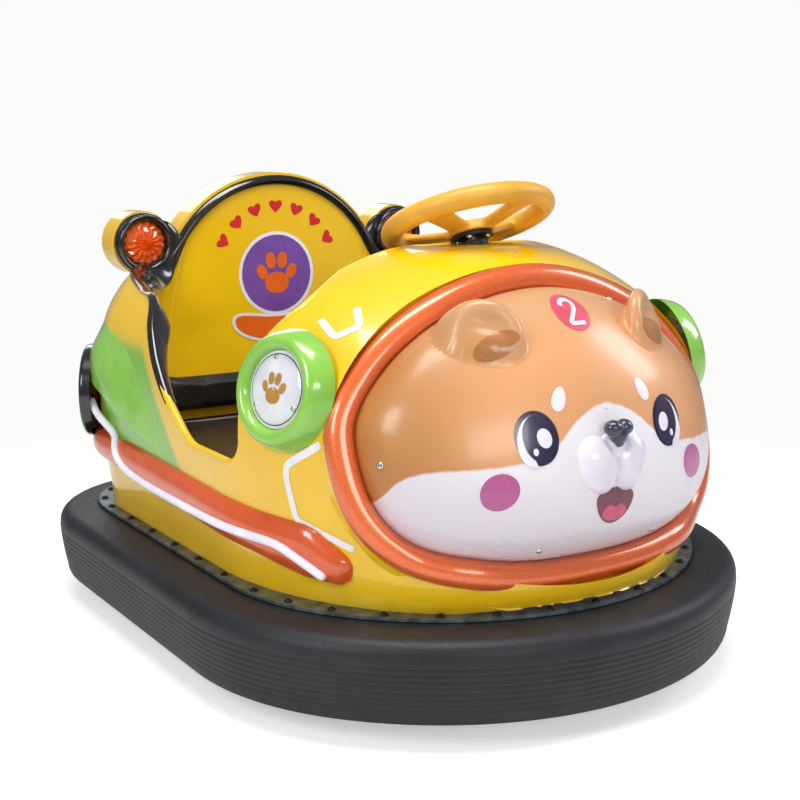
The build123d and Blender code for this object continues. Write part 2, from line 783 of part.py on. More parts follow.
def wheel(diameter, width, centre, name, bracket_half):
    """A rubber tyre on a flanged hub with its axle stubs, turning about X."""
    across = Plane.YZ.offset(centre[0] - width / 2)
    rim = diameter * 0.32
    with BuildPart() as tyre:
        with BuildSketch(across):
            with Locations((centre[1], centre[2])):
                Circle(diameter / 2)
                Circle(rim, mode=Mode.SUBTRACT)
        extrude(amount=width)
        fillet(tyre.edges().filter_by(GeomType.CIRCLE).sort_by(SortBy.RADIUS)[-2:], width * 0.22)
    tyre.part.label = f"{name}_tyre"
    export_step(tyre.part, f"parts/{name}_tyre.step")
    with BuildPart() as hub:
        with BuildSketch(across):
            with Locations((centre[1], centre[2])):
                Circle(rim)
        extrude(amount=width)
        with BuildSketch(Plane.YZ.offset(centre[0] - bracket_half)):
            with Locations((centre[1], centre[2])):
                Circle(axle_diameter / 2)
        extrude(amount=2 * bracket_half)
    hub.part.label = f"{name}_hub"
    export_step(hub.part, f"parts/{name}_hub.step")


wheel(
    front_wheel_diameter,
    front_tyre_width,
    (0, front_wheel_y, front_axle_z),
    "front_wheel",
    leg_inside + 14,
)
for side, name in ((-1, "rear_wheel_right"), (1, "rear_wheel_left")):
    wheel(
        rear_wheel_diameter,
        rear_tyre_width,
        (side * rear_wheel_x, rear_wheel_y, rear_axle_z),
        name,
        bracket_x + bracket_plate,
    )

# ---- Foot pedal ----
with BuildPart() as pedal:
    with Locations((90, foot_edge + 40, pan_z + pan_thickness)):
        Box(80, 60, 12, align=(Align.CENTER, Align.CENTER, Align.MIN))
    with BuildSketch(Plane.YZ.offset(90 - 35)):
        with BuildLine():
            Polyline(
                (foot_edge + 20, pan_z + pan_thickness + 12),
                (foot_edge + 66, pan_z + pan_thickness + 12),
                (foot_edge + 20, pan_z + pan_thickness + 62),
                (foot_edge + 12, pan_z + pan_thickness + 56),
                (foot_edge + 20, pan_z + pan_thickness + 12),
            )
        make_face()
    extrude(amount=70)
pedal.part.label = "pedal"
export_step(pedal.part, "parts/pedal.step")
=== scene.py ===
"""Looks of an electric bumper car with an animal-face nose.  Metres; the car's front is -Y and up is +Z."""
import math

import bmesh
import bpy
from mathutils import Euler, Matrix, Vector
from mathutils.bvhtree import BVHTree


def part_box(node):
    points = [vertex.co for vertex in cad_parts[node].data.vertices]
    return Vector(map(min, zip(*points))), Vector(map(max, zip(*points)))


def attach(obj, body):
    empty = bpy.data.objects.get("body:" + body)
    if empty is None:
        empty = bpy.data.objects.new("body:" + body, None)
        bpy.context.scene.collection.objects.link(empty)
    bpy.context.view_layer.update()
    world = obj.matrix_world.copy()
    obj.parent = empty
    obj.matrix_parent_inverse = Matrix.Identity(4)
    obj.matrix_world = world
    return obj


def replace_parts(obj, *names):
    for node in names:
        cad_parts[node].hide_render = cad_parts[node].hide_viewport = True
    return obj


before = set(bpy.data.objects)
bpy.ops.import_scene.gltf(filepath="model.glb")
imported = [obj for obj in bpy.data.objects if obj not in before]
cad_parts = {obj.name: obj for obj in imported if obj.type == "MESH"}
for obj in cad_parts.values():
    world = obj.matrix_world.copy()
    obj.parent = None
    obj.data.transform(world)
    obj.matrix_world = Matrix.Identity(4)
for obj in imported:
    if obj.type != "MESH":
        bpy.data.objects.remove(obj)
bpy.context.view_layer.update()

# ==== Photo booth ==================================================================================
# Plain soft light on a pale floor that fades to white: a softbox overhead and one at each side, and a
# fill in front and behind.  The camera stands off the right front corner, at about chest height.
scene = bpy.context.scene
scene.view_settings.view_transform = "Standard"


def srgb(code):
    """The linear colour of an sRGB hex code."""
    parts = [int(code[i:i + 2], 16) / 255 for i in (1, 3, 5)]
    linear = [c / 12.92 if c <= 0.04045 else ((c + 0.055) / 1.055) ** 2.4 for c in parts]
    return (*linear, 1.0)


def add_node(tree, kind, inputs=(), **settings):
    """Adds a shader node; inputs maps each socket to a value or to the socket that feeds it."""
    made = tree.nodes.new(kind)
    for name, value in settings.items():
        setattr(made, name, value)
    for name, value in dict(inputs).items():
        if isinstance(value, bpy.types.NodeSocket):
            tree.links.new(value, made.inputs[name])
        else:
            made.inputs[name].default_value = value
    return made


booth_white = srgb("#FBFBF9")
world = bpy.data.worlds.new("booth")
scene.world = world
world.use_nodes = True
sky = world.node_tree
sky.nodes.clear()
seen = add_node(sky, "ShaderNodeLightPath")
mirrored = add_node(sky, "ShaderNodeMath", {0: seen.outputs["Is Camera Ray"],
                                            1: seen.outputs["Is Transmission Ray"]}, operation="MAXIMUM")
dim = add_node(sky, "ShaderNodeBackground", {"Color": srgb("#DDE2EA"), "Strength": 0.34})
bright = add_node(sky, "ShaderNodeBackground", {"Color": booth_white, "Strength": 1.0})
mix = add_node(sky, "ShaderNodeMixShader", {0: mirrored.outputs[0], 1: dim.outputs[0], 2: bright.outputs[0]})
add_node(sky, "ShaderNodeOutputWorld", {"Surface": mix.outputs[0]})

floor_mesh = bpy.data.meshes.new("floor")
floor_reach = 14.0
fade_start, fade_end = 1.0, 2.2        # distances from the car's middle; beyond the second it is white
corners = [(x * floor_reach, y * floor_reach, 0) for x, y in ((-1, -1), (1, -1), (1, 1), (-1, 1))]
floor_mesh.from_pydata(corners, [], [(0, 1, 2, 3)])
floor = bpy.data.objects.new("floor", floor_mesh)
scene.collection.objects.link(floor)
floor_paint = bpy.data.materials.new("floor_paint")
floor_paint.use_nodes = True
tree = floor_paint.node_tree
tree.nodes.clear()
matt = add_node(tree, "ShaderNodeBsdfDiffuse", {"Color": srgb("#F4F4F2")})
glow = add_node(tree, "ShaderNodeEmission", {"Color": booth_white, "Strength": 0.50})
both = add_node(tree, "ShaderNodeAddShader", {0: matt.outputs[0], 1: glow.outputs[0]})
far_white = add_node(tree, "ShaderNodeEmission", {"Color": booth_white, "Strength": 1.0})
spot = add_node(tree, "ShaderNodeNewGeometry")
away = add_node(tree, "ShaderNodeVectorMath", {0: spot.outputs["Position"]}, operation="LENGTH")
sweep = add_node(tree, "ShaderNodeMapRange", {"Value": away.outputs["Value"], "From Min": fade_start,
                                              "From Max": fade_end}, interpolation_type="SMOOTHSTEP")
open_floor = add_node(tree, "ShaderNodeMixShader", {0: sweep.outputs[0], 1: both.outputs[0],
                                                    2: far_white.outputs[0]})
path = add_node(tree, "ShaderNodeLightPath")
shown = add_node(tree, "ShaderNodeMixShader", {0: path.outputs["Is Camera Ray"], 1: matt.outputs[0],
                                               2: open_floor.outputs[0]})
add_node(tree, "ShaderNodeOutputMaterial", {"Surface": shown.outputs[0]})
floor_mesh.materials.append(floor_paint)

SOFTBOXES = [        # name, place, aimed at, width, depth, power, colour
    ("overhead", (-0.5, -0.6, 3.4), (0, 0, 0.4), 2.2, 1.0, 74, "#FFFDF8"),
    ("right_side", (-3.2, -1.0, 2.2), (0, 0, 0.5), 0.9, 1.4, 44, "#FFFFFF"),
    ("left_side", (3.0, -1.4, 2.4), (0, 0, 0.5), 1.0, 1.6, 44, "#F3F4FF"),
    ("front_fill", (-0.6, -4.2, 1.9), (0, 0, 0.4), 2.0, 0.7, 34, "#FFFFFF"),
    ("rear_fill", (0.8, 3.6, 2.4), (0, 0, 0.5), 2.4, 1.4, 26, "#FFFFFF"),
]
for name, place, aim, width, depth, power, colour in SOFTBOXES:
    lamp = bpy.data.lights.new(name, "AREA")
    lamp.shape = "RECTANGLE"
    lamp.size, lamp.size_y, lamp.energy = width, depth, power
    lamp.color = srgb(colour)[:3]
    stand = bpy.data.objects.new(name, lamp)
    stand.location = place
    stand.rotation_euler = (Vector(aim) - Vector(place)).to_track_quat("-Z", "Y").to_euler()
    scene.collection.objects.link(stand)

camera = bpy.data.objects.new("camera", bpy.data.cameras.new("camera"))
camera.location = (-1.475, -2.307, 0.967)
camera.rotation_euler = (math.radians(79.4), 0, math.radians(-32.67))
camera.data.lens = 60.9
camera.data.sensor_width = 36
scene.collection.objects.link(camera)
scene.camera = camera

# ==== Bumper ring ==================================================================================
# The ring round the car is one hollow moulding of black natural rubber, bolted below the flange.
# Its top falls away from a shallow groove to a round shoulder, and fine ribs run round its side.
bumper_low, bumper_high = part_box("bumper_ring")
bumper_half = bumper_high.x + 0.001
bumper_front = bumper_low.y - 0.001
bumper_rear = bumper_high.y + 0.001
bumper_wide = bumper_front + 0.528
bumper_corner = 0.320
bumper_wall = 0.118


def bend(centre, radius, first, last, pace):
    """Points about one pace apart along an arc, with their outward normals; angles in radians."""
    count = max(3, round(abs(radius * (last - first)) / pace))
    turns = [first + (last - first) * i / count for i in range(count)]
    return [(Vector((centre[0] + radius * math.cos(t), centre[1] + radius * math.sin(t), 0)),
             Vector((math.cos(t), math.sin(t), 0))) for t in turns]


def plan_loop(half, front, wide, rear, corner, pace=0.016):
    """Points and outward normals round a plan outline: oval front, straight sides, rounded rear."""
    depth = wide - front
    side_radius = depth * depth / half
    side_x = half - side_radius
    spread = half * half + 2 * half * depth + 2 * depth * depth
    joint_x = half * (half + depth) ** 2 / spread
    joint_y = wide + (half - depth) * (half + 2 * depth) / (2 * depth)
    joint_y -= half * half * (half + depth) * (half + 2 * depth) / (2 * depth * spread)
    gap = joint_y - front
    nose_radius = (joint_x ** 2 + gap ** 2) / (2 * gap)
    nose_y = front + nose_radius
    lead = math.atan2(joint_y - nose_y, joint_x)
    swing = math.atan2(joint_y - wide, joint_x - side_x)
    quarter = math.pi / 2
    straight = rear - corner - wide
    runs = max(1, round(straight / pace))
    back = max(2, round(2 * (half - corner) / pace))
    loop = bend((0, nose_y), nose_radius, -quarter, lead, pace)
    loop += bend((side_x, wide), side_radius, swing, 0, pace)
    loop += [(Vector((half, wide + straight * i / runs, 0)), Vector((1, 0, 0))) for i in range(runs)]
    loop += bend((half - corner, rear - corner), corner, 0, quarter, pace)
    loop += [(Vector((half - corner - 2 * (half - corner) * i / back, rear, 0)), Vector((0, 1, 0)))
             for i in range(back)]
    other = [(Vector((-p.x, p.y, 0)), Vector((-n.x, n.y, 0))) for p, n in loop[::-1]]
    split = next(i for i, (p, n) in enumerate(other) if p.x < corner - half + 1e-6)
    return loop + [pair for pair in other[split:] if pair[0].x < -1e-6]


def grid_mesh(name, rows, around=False, along=False):
    """A mesh over rows of points; around closes each row, along joins the last row to the first."""
    wide, tall = len(rows[0]), len(rows)
    points = [p for row in rows for p in row]
    faces = []
    for j in range(tall if along else tall - 1):
        for i in range(wide if around else wide - 1):
            k, m = (j + 1) % tall, (i + 1) % wide
            faces.append((j * wide + i, j * wide + m, k * wide + m, k * wide + i))
    mesh = bpy.data.meshes.new(name)
    mesh.from_pydata([tuple(p) for p in points], [], faces)
    return mesh


def add_piece(name, mesh, material, angle=80, body="body"):
    """Puts a finished mesh in the scene, smooth up to an edge angle, and makes it ride on a body."""
    work = bmesh.new()
    work.from_mesh(mesh)
    bmesh.ops.recalc_face_normals(work, faces=work.faces)
    work.to_mesh(mesh)
    work.free()
    for face in mesh.polygons:
        face.use_smooth = True
    mesh.set_sharp_from_angle(angle=math.radians(angle))
    mesh.materials.append(material)
    piece = bpy.data.objects.new(name, mesh)
    scene.collection.objects.link(piece)
    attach(piece, body)
    return piece


def new_finish(name, values):
    """Starts a material whose shader has the given values on its own sockets."""
    material = bpy.data.materials.new(name)
    material.use_nodes = True
    material.node_tree.nodes.clear()
    tree = material.node_tree
    place = add_node(tree, "ShaderNodeTexCoord")
    shader = add_node(tree, "ShaderNodeBsdfPrincipled", values)
    add_node(tree, "ShaderNodeOutputMaterial", {"Surface": shader.outputs[0]})
    return material, tree, place.outputs["Object"], shader


def mottle(tree, place, size, low, high, detail=3.0):
    """A cloudy blend of two colours whose blotches are about size metres across."""
    cloud = add_node(tree, "ShaderNodeTexNoise", {"Vector": place, "Scale": 1 / size, "Detail": detail})
    blend = add_node(tree, "ShaderNodeValToRGB", {"Fac": cloud.outputs["Fac"]})
    blend.color_ramp.elements[0].position = 0.35
    blend.color_ramp.elements[0].color = srgb(low)
    blend.color_ramp.elements[1].position = 0.65
    blend.color_ramp.elements[1].color = srgb(high)
    return blend.outputs["Color"]


def blended(tree, share, first, second):
    """A colour between two colours, where share runs from 0 to 1."""
    return add_node(tree, "ShaderNodeMix", {0: share, 6: first, 7: second}, data_type="RGBA").outputs[2]


def ripple(tree, place, shader, size, depth, strength=1.0, detail=2.0, roughness=None):
    """Bumps the surface with noise of a grain size and depth in metres; roughness is a (low, high) range."""
    grain = add_node(tree, "ShaderNodeTexNoise", {"Vector": place, "Scale": 1 / size, "Detail": detail})
    bump = add_node(tree, "ShaderNodeBump", {"Height": grain.outputs["Fac"], "Distance": depth,
                                             "Strength": strength})
    tree.links.new(bump.outputs[0], shader.inputs["Normal"])
    if roughness:
        wear = add_node(tree, "ShaderNodeMapRange", {"Value": grain.outputs["Fac"], "From Min": 0.3,
                                                     "From Max": 0.7, "To Min": roughness[0],
                                                     "To Max": roughness[1]})
        tree.links.new(wear.outputs[0], shader.inputs["Roughness"])


def plain_finish(name, low, high, blotch, grain, values, roughness=None):
    """A finish in one cloudy colour: blotch is (size, detail), grain is (size, depth, strength, detail)."""
    material, tree, place, shader = new_finish(name, values)
    tree.links.new(mottle(tree, place, blotch[0], low, high, blotch[1]), shader.inputs["Base Color"])
    ripple(tree, place, shader, *grain, roughness)
    return material


def bumper_profile():
    """The ring's section as (inset from the outline, height), from the inner top edge outwards and down."""
    top, low = bumper_high.z, bumper_low.z
    rib_top, rib_low, ribs, rib_depth, rib_steps = low + 0.112, low + 0.026, 8, 0.0016, 6
    shoulder, foot = 0.030, 0.020
    points = [(bumper_wall, top - 0.012), (bumper_wall, top), (0.094, top), (0.091, top - 0.0028),
              (0.087, top - 0.0028), (0.084, top - 0.0005), (0.060, top - 0.0025)]
    for i in range(9):
        turn = math.pi / 2 * (1 - i / 8) * 0.93
        points.append((0.003 + shoulder - shoulder * math.cos(turn),
                       top - 0.006 - shoulder + shoulder * math.sin(turn)))
    steps = ribs * rib_steps
    for i in range(1, steps + 1):
        drop = (rib_top - rib_low) * i / steps
        groove = rib_depth * (0.5 - 0.5 * math.cos(2 * math.pi * i / rib_steps)) ** 2
        points.append((0.0022 + 0.10 * drop ** 2 / 0.11 + 0.010 * drop / 0.086 * 0.6 + groove,
                       rib_top - drop))
    base = points[-1][0]
    for i in range(1, 8):
        turn = math.pi / 2 * i / 7
        points.append((base + foot - foot * math.cos(turn), rib_low - (rib_low - low) * math.sin(turn)))
    points.append((bumper_wall - 0.012, low))
    points.append((bumper_wall, low + 0.010))
    return points


outline = plan_loop(bumper_half, bumper_front, bumper_wide, bumper_rear, bumper_corner)
# Natural rubber out of a steel mould: near black, a dull sheen, dusty grey bloom and fine grain.
rubber = plain_finish("moulded_rubber", "#15161A", "#1F2026", (0.11, 5), (0.003, 0.0006, 0.5, 4),
                      {"Roughness": 0.5, "IOR": 1.52, "Specular IOR Level": 0.45}, (0.42, 0.6))
rows = [[p - n * inset + Vector((0, 0, z)) for inset, z in bumper_profile()] for p, n in outline]
bumper = add_piece("bumper_moulding", grid_mesh("bumper_moulding", rows, around=True, along=True), rubber,
                   60)
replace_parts(bumper, "bumper_ring")

# ==== Flange plate =================================================================================
# The flange is a flat ring of 6 mm hot-dip galvanised steel that the body stands on.
# Black button-head screws go down through it into the bumper, a hand's width apart.
flange_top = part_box("flange_plate")[1].z
screw_pitch = 0.115
screw_inset = 0.101


def screw_heads(name, spots, radius, height, material, body="body"):
    """One mesh of button heads with a hexagon socket, each at a place and along an outward direction."""
    work = bmesh.new()
    sides = 24
    section = [(1.0, 0.0), (1.0, 0.22), (0.93, 0.5), (0.74, 0.84), (0.5, 1.0), (0.46, 0.98), (0.42, 0.45)]
    for place, outward in spots:
        turn = Vector(outward).to_track_quat("Z", "Y").to_matrix()
        rings = []
        for reach, rise in section:
            ring = []
            for i in range(sides):
                angle = 2 * math.pi * i / sides
                hexagon = 1.0
                if rise in (0.98, 0.45):
                    hexagon = math.cos(math.pi / 6) / math.cos((angle % (math.pi / 3)) - math.pi / 6)
                flat = Vector((math.cos(angle), math.sin(angle), 0)) * reach * radius * hexagon
                ring.append(work.verts.new(Vector(place) + turn @ (flat + Vector((0, 0, rise * height)))))
            rings.append(ring)
        for low, high in zip(rings, rings[1:]):
            for i in range(sides):
                work.faces.new((low[i], low[(i + 1) % sides], high[(i + 1) % sides], high[i]))
        work.faces.new(rings[-1])
        work.faces.new(rings[0][::-1])
    mesh = bpy.data.meshes.new(name)
    work.to_mesh(mesh)
    work.free()
    return add_piece(name, mesh, material, 35, body)


def paint_node(node, material):
    """Gives a CAD node its finish."""
    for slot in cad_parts[node].material_slots:
        slot.material = material


def spaced(loop, pitch):
    """Points of a closed loop about one pitch apart."""
    total, picked, gone = 0.0, [], 0.0
    for (p, n), (q, m) in zip(loop, loop[1:] + loop[:1]):
        total += (q - p).length
    pitch = total / round(total / pitch)
    for (p, n), (q, m) in zip(loop, loop[1:] + loop[:1]):
        if gone <= 0:
            picked.append((p, n))
            gone += pitch
        gone -= (q - p).length
    return picked


# Zinc on steel sheet: dull blue grey with cloudy spangle and rubbed, dirty patches.
zinc_grey = plain_finish("galvanised_steel", "#5B6468", "#8B979C", (0.03, 4), (0.006, 0.0003, 0.4, 3),
                         {"Metallic": 0.85, "Roughness": 0.45}, (0.38, 0.6))
paint_node("flange_plate", zinc_grey)
# Black-passivated screws: dark, slightly shiny, with paler rubbed spots.
zinc_black = plain_finish("black_zinc", "#1B1B1D", "#34343A", (0.004, 3), (0.002, 0.0002, 0.3, 2),
                          {"Metallic": 0.7, "Roughness": 0.4}, (0.32, 0.5))
spots = [(p - n * screw_inset + Vector((0, 0, flange_top - 0.0005)), (0, 0, 1))
         for p, n in spaced(outline, screw_pitch)]
screw_heads("flange_screws", spots, 0.0075, 0.005, zinc_black)

# ==== Chassis, floor pan and battery ===============================================================
# The frame is square tube and bent plate, welded and sprayed black.  The floor pan is sprayed grey and
# scuffed by shoes, and the battery stands in a case of dark blue-grey plastic.
def dull_finish(name, low, high, roughness):
    """Sprayed enamel, plastic or rubber without gloss: an even coat with cloudy blotches and faint peel."""
    return plain_finish(name, low, high, (0.09, 6), (0.004, 0.0004, 0.4, 3),
                        {"Roughness": 0.5, "Specular IOR Level": 0.5}, roughness)


frame_black = dull_finish("sprayed_black_steel", "#141416", "#232326", (0.4, 0.6))
for node in ("chassis_frame", "column_housing", "steering_fork"):
    paint_node(node, frame_black)
paint_node("floor_pan", dull_finish("sprayed_grey_steel", "#3B3E42", "#55595E", (0.5, 0.7)))
paint_node("battery_box", dull_finish("battery_polypropylene", "#202A33", "#2B3742", (0.45, 0.6)))

# ==== Body shell ===================================================================================
# The tub and the hood are hand-laid glass fibre about 12 mm thick, in one high-gloss yellow gel coat.
# Green is airbrushed over the yellow low on the flanks, and the cockpit's edge is rolled.
EDGE_SIDE = [        # y, z, corner radius of the cockpit's edge in side view, from behind forwards
    (0.120, 0.524, 0.0), (0.090, 0.500, 0.150), (-0.020, 0.420, 0.090), (-0.228, 0.418, 0.050),
    (-0.232, 0.600, 0.060), (-0.268, 0.705, 0.030), (-0.236, 0.760, 0.015), (-0.236, 0.800, 0.0),
]
edge_radius = 0.008
hood_back = -0.236


def gel_coat():
    """Polished polyester gel coat: saturated yellow under a clear gloss, with faint mould ripple.
    Low on the flanks it fades through green where the airbrush was swept upwards and forwards."""
    material, tree, place, shader = new_finish("yellow_gel_coat", {
        "Roughness": 0.32, "IOR": 1.5, "Coat Weight": 0.9, "Coat Roughness": 0.06, "Coat IOR": 1.5})
    yellow = mottle(tree, place, 0.35, "#F3C000", "#F8CA08", 2)
    sweep = add_node(tree, "ShaderNodeVectorMath", {0: place, 1: (0, 0.806, -0.592)},
                     operation="DOT_PRODUCT")
    cloud = add_node(tree, "ShaderNodeTexNoise", {"Vector": place, "Scale": 9.0, "Detail": 3.0})
    drift = add_node(tree, "ShaderNodeMath", {0: cloud.outputs["Fac"], 1: 0.02, 2: sweep.outputs["Value"]},
                     operation="MULTIPLY_ADD")
    lip = add_node(tree, "ShaderNodeVectorMath", {0: place, 1: (0, 0.770, -0.638)},
                   operation="DOT_PRODUCT")
    parts = add_node(tree, "ShaderNodeSeparateXYZ", {0: place})
    normal = add_node(tree, "ShaderNodeNewGeometry").outputs["Normal"]
    facing = add_node(tree, "ShaderNodeSeparateXYZ", {0: normal})
    hand = add_node(tree, "ShaderNodeMath", {0: parts.outputs["X"]}, operation="SIGN")
    outward = add_node(tree, "ShaderNodeMath", {0: facing.outputs["X"], 1: hand.outputs[0]},
                       operation="MULTIPLY")
    mask = None
    for value, bare, full in (          # what is measured, where the green starts, where it is full
            (drift.outputs[0], -0.235, -0.185), (lip.outputs["Value"], -0.222, -0.200),
            (parts.outputs["Z"], 0.33, 0.37), (parts.outputs["Z"], 0.60, 0.55),
            (outward.outputs[0], 0.15, 0.45)):
        share = add_node(tree, "ShaderNodeMapRange", {"Value": value, "From Min": bare, "From Max": full},
                         interpolation_type="SMOOTHSTEP").outputs[0]
        mask = share if mask is None else add_node(tree, "ShaderNodeMath", {0: mask, 1: share},
                                                   operation="MULTIPLY").outputs[0]
    tree.links.new(blended(tree, mask, yellow, srgb("#7FBF3C")), shader.inputs["Base Color"])
    ripple(tree, place, shader, 0.05, 0.0012, 0.25, 1)
    return material


yellow_coat = gel_coat()
for node in ("body_tub", "front_hood", "backrest_shell"):
    paint_node(node, yellow_coat)


def skin_of(*pieces):
    """One search tree over the surfaces of some objects."""
    points, faces = [], []
    for piece in pieces:
        start = len(points)
        points += [v.co.copy() for v in piece.data.vertices]
        faces += [[start + i for i in face.vertices] for face in piece.data.polygons]
    return BVHTree.FromPolygons(points, faces)


body_skin = skin_of(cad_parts["body_tub"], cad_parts["front_hood"])


def dense(path, pace):
    """A polyline with more points, so that none are much over one pace apart."""
    points = [path[0]]
    for p, q in zip(path, path[1:]):
        count = max(1, int((q - p).length / pace))
        points += [p.lerp(q, (k + 1) / count) for k in range(count)]
    return points


def rounded(corners, pace=0.008):
    """Points along straight runs joined by tangent arcs; each corner is (a, b, radius)."""
    spots = [Vector((a, b, 0)) for a, b, r in corners]
    path = [spots[0]]
    for i in range(1, len(corners) - 1):
        back, out = (spots[i - 1] - spots[i]).normalized(), (spots[i + 1] - spots[i]).normalized()
        half = back.angle(out) / 2
        radius = corners[i][2]
        cut = radius / math.tan(half)
        centre = spots[i] + (back + out).normalized() * (radius / math.sin(half))
        first, last = spots[i] + back * cut - centre, spots[i] + out * cut - centre
        steps = max(2, int(radius * first.angle(last) / pace))
        path += [centre + first.lerp(last, k / steps).normalized() * radius for k in range(steps + 1)]
    return dense(path + spots[-1:], pace)


def tube(name, path, radius, closed=False, sides=16, up=(0, 0, 1)):
    """A round bar swept along a path, with rounded ends unless it is closed."""
    rows = []
    for i, spot in enumerate(path):
        before = path[i - 1] if i or closed else path[0]
        after = path[(i + 1) % len(path)] if i < len(path) - 1 or closed else path[-1]
        along = (after - before).normalized()
        over = (Vector(up) - along * along.dot(Vector(up))).normalized()
        aside = along.cross(over)
        rows.append([spot + (aside * math.cos(2 * math.pi * k / sides)
                             + over * math.sin(2 * math.pi * k / sides)) * radius for k in range(sides)])
    for end, other in (() if closed else ((0, 1), (-1, -2))):
        reach = (path[end] - path[other]).normalized()
        cap = [[path[end] + (p - path[end]) * share + reach * radius * shift for p in rows[end]]
               for share, shift in ((0.86, 0.5), (0.5, 0.86), (0.02, 1.0))]
        rows = cap[::-1] + rows if end == 0 else rows + cap
    return grid_mesh(name, rows, around=True, along=closed)


def skin_at(side, y, z):
    """The body's outer point and outward normal seen square from one side."""
    hit, normal, face, gap = body_skin.ray_cast(Vector((side * 0.9, y, z)), Vector((-side, 0, 0)))
    return hit, normal


def rolled_edge(name):
    """The rolled rim of the cockpit from one flank, up over the hood and down the other flank."""
    side_path = []
    for p in rounded(EDGE_SIDE):
        hit, normal = skin_at(-1, p.x, min(p.y, 0.75) - 0.001)
        if p.y > 0.70 or hit is None:
            break
        hit, normal = skin_at(-1, p.x - (0.004 if p.x < -0.2 else 0), p.y - (0.002 if p.x > -0.2 else 0))
        if hit is None:
            continue
        side_path.append(Vector((hit.x + edge_radius * 0.8, p.x, p.y)))
    top = []
    steps = 48
    end = side_path[-1]
    for i in range(steps + 1):
        x = end.x * (1 - 2 * i / steps)
        above = Vector((x * 0.985, hood_back - 0.004, 1.2))
        hit, normal, face, gap = body_skin.ray_cast(above, Vector((0, 0, -1)))
        if hit is not None and i not in (0, steps):
            top.append(Vector((hit.x, hood_back, hit.z - edge_radius * 0.8)))
    other = [Vector((-p.x, p.y, p.z)) for p in side_path[::-1]]
    return tube(name, side_path + top + other, edge_radius, sides=14, up=(0.1, 0.2, 1))


add_piece("cockpit_rolled_edge", rolled_edge("cockpit_rolled_edge"), yellow_coat)

STRIPE_CROWN = [(-0.361, -0.322, 0.678), (-0.362, -0.371, 0.654), (-0.324, -0.390, 0.672),
                (-0.309, -0.355, 0.698)]
STRIPE_FLANK = [(-0.417, -0.417, 0.488), (-0.444, -0.351, 0.446), (-0.445, -0.346, 0.426),
                (-0.431, -0.357, 0.348), (-0.424, -0.372, 0.344), (-0.374, -0.450, 0.312)]
stripe_width = 0.013
film_lift = 0.001


def cut_film(name, code):
    """Self-adhesive vinyl film: an even colour, a satin face and the faintest ripple over the shell."""
    low = "#" + "".join(f"{max(0, int(code[i:i + 2], 16) - 8):02X}" for i in (1, 3, 5))
    return plain_finish(name, low, code, (0.05, 2), (0.02, 0.0003, 0.2, 1),
                        {"Roughness": 0.25, "Coat Weight": 0.5, "Coat Roughness": 0.1})


def eased(points, cut=0.012, steps=5):
    """A polyline with its corners eased, as closely spaced points."""
    path = [points[0]]
    for before, corner, after in zip(points, points[1:], points[2:]):
        first = corner + (before - corner).normalized() * min(cut, (before - corner).length / 2)
        last = corner + (after - corner).normalized() * min(cut, (after - corner).length / 2)
        path += [first.lerp(corner, k / steps).lerp(corner.lerp(last, k / steps), k / steps)
                 for k in range(steps + 1)]
    return dense(path + points[-1:], 0.006)


def film_strip(name, points, width, skin, columns=4):
    """A strip of film laid along points on a surface."""
    path = eased([Vector(p) for p in points])
    normals = [skin.find_nearest(spot)[1] for spot in path]
    facing = sum(normals, Vector((0, 0, 0))).normalized()
    rows = []
    for i, spot in enumerate(path):
        along = (path[min(i + 1, len(path) - 1)] - path[max(i - 1, 0)]).normalized()
        aside = facing.cross(along).normalized()
        row = []
        for k in range(columns + 1):
            start = spot + aside * width * (k / columns - 0.5)
            near, out, face, gap = skin.ray_cast(start + facing * 0.06, -facing)
            if near is None or (near - start).length > 0.03:
                near, out, face, gap = skin.find_nearest(start)
            row.append(near + facing * film_lift)
        rows.append(row)
    return grid_mesh(name, rows)


white_film = cut_film("white_vinyl_film", "#F4F3F7")
for side, hand in ((1, "right"), (-1, "left")):
    for name, points in (("crown_stripe", STRIPE_CROWN), ("flank_stripe", STRIPE_FLANK)):
        placed = [(side * x, y, z) for x, y, z in points]
        strip = film_strip(name, placed, stripe_width, body_skin)
        add_piece(f"{name}_{hand}", strip, white_film)

# ==== Nose ring ====================================================================================
# The orange ring is a round glass-fibre bead about 50 mm thick, moulded on and sprayed in metal flake.
# It lies on a curved face that leans back and is pushed forwards where the shell would bury it.  A
# yellow skirt closes the gap behind it.
face_slant = math.atan(0.324)
face_middle = Vector((0, -0.497, 0.495))
face_up = Vector((0, math.sin(face_slant), math.cos(face_slant)))
face_out = Vector((0, -math.cos(face_slant), math.sin(face_slant)))
face_sag = 0.416 * math.cos(face_slant)
ring_half_width = 0.393
ring_half_height = 0.2575
ring_tube = 0.0255
ring_push_limit = 0.030
jaw_power, crown_power = 2.6, 1.86      # how square the outline is below and above the middle
power_blend = 0.24


def squareness(v):
    """The face's outline is squarer below its middle than above it."""
    share = min(max(v / power_blend + 0.5, 0), 1)
    return jaw_power + (crown_power - jaw_power) * share * share * (3 - 2 * share)


def oval_spot(turn, wide, tall):
    """A point of a rounded-square oval, as (across, up) in the face plane."""
    x, v = math.cos(turn), math.sin(turn)
    reach = 1.0
    for trial in range(12):
        power = squareness(v * reach * tall)
        reach = (abs(x) ** power + abs(v) ** power) ** (-1 / power)
    return x * reach * wide, v * reach * tall


def face_spot(across, up, out=0.0):
    """A place over the curved face plane."""
    sag = face_sag * across * across
    return face_middle + Vector((across, 0, 0)) + face_up * up + face_out * (out - sag)


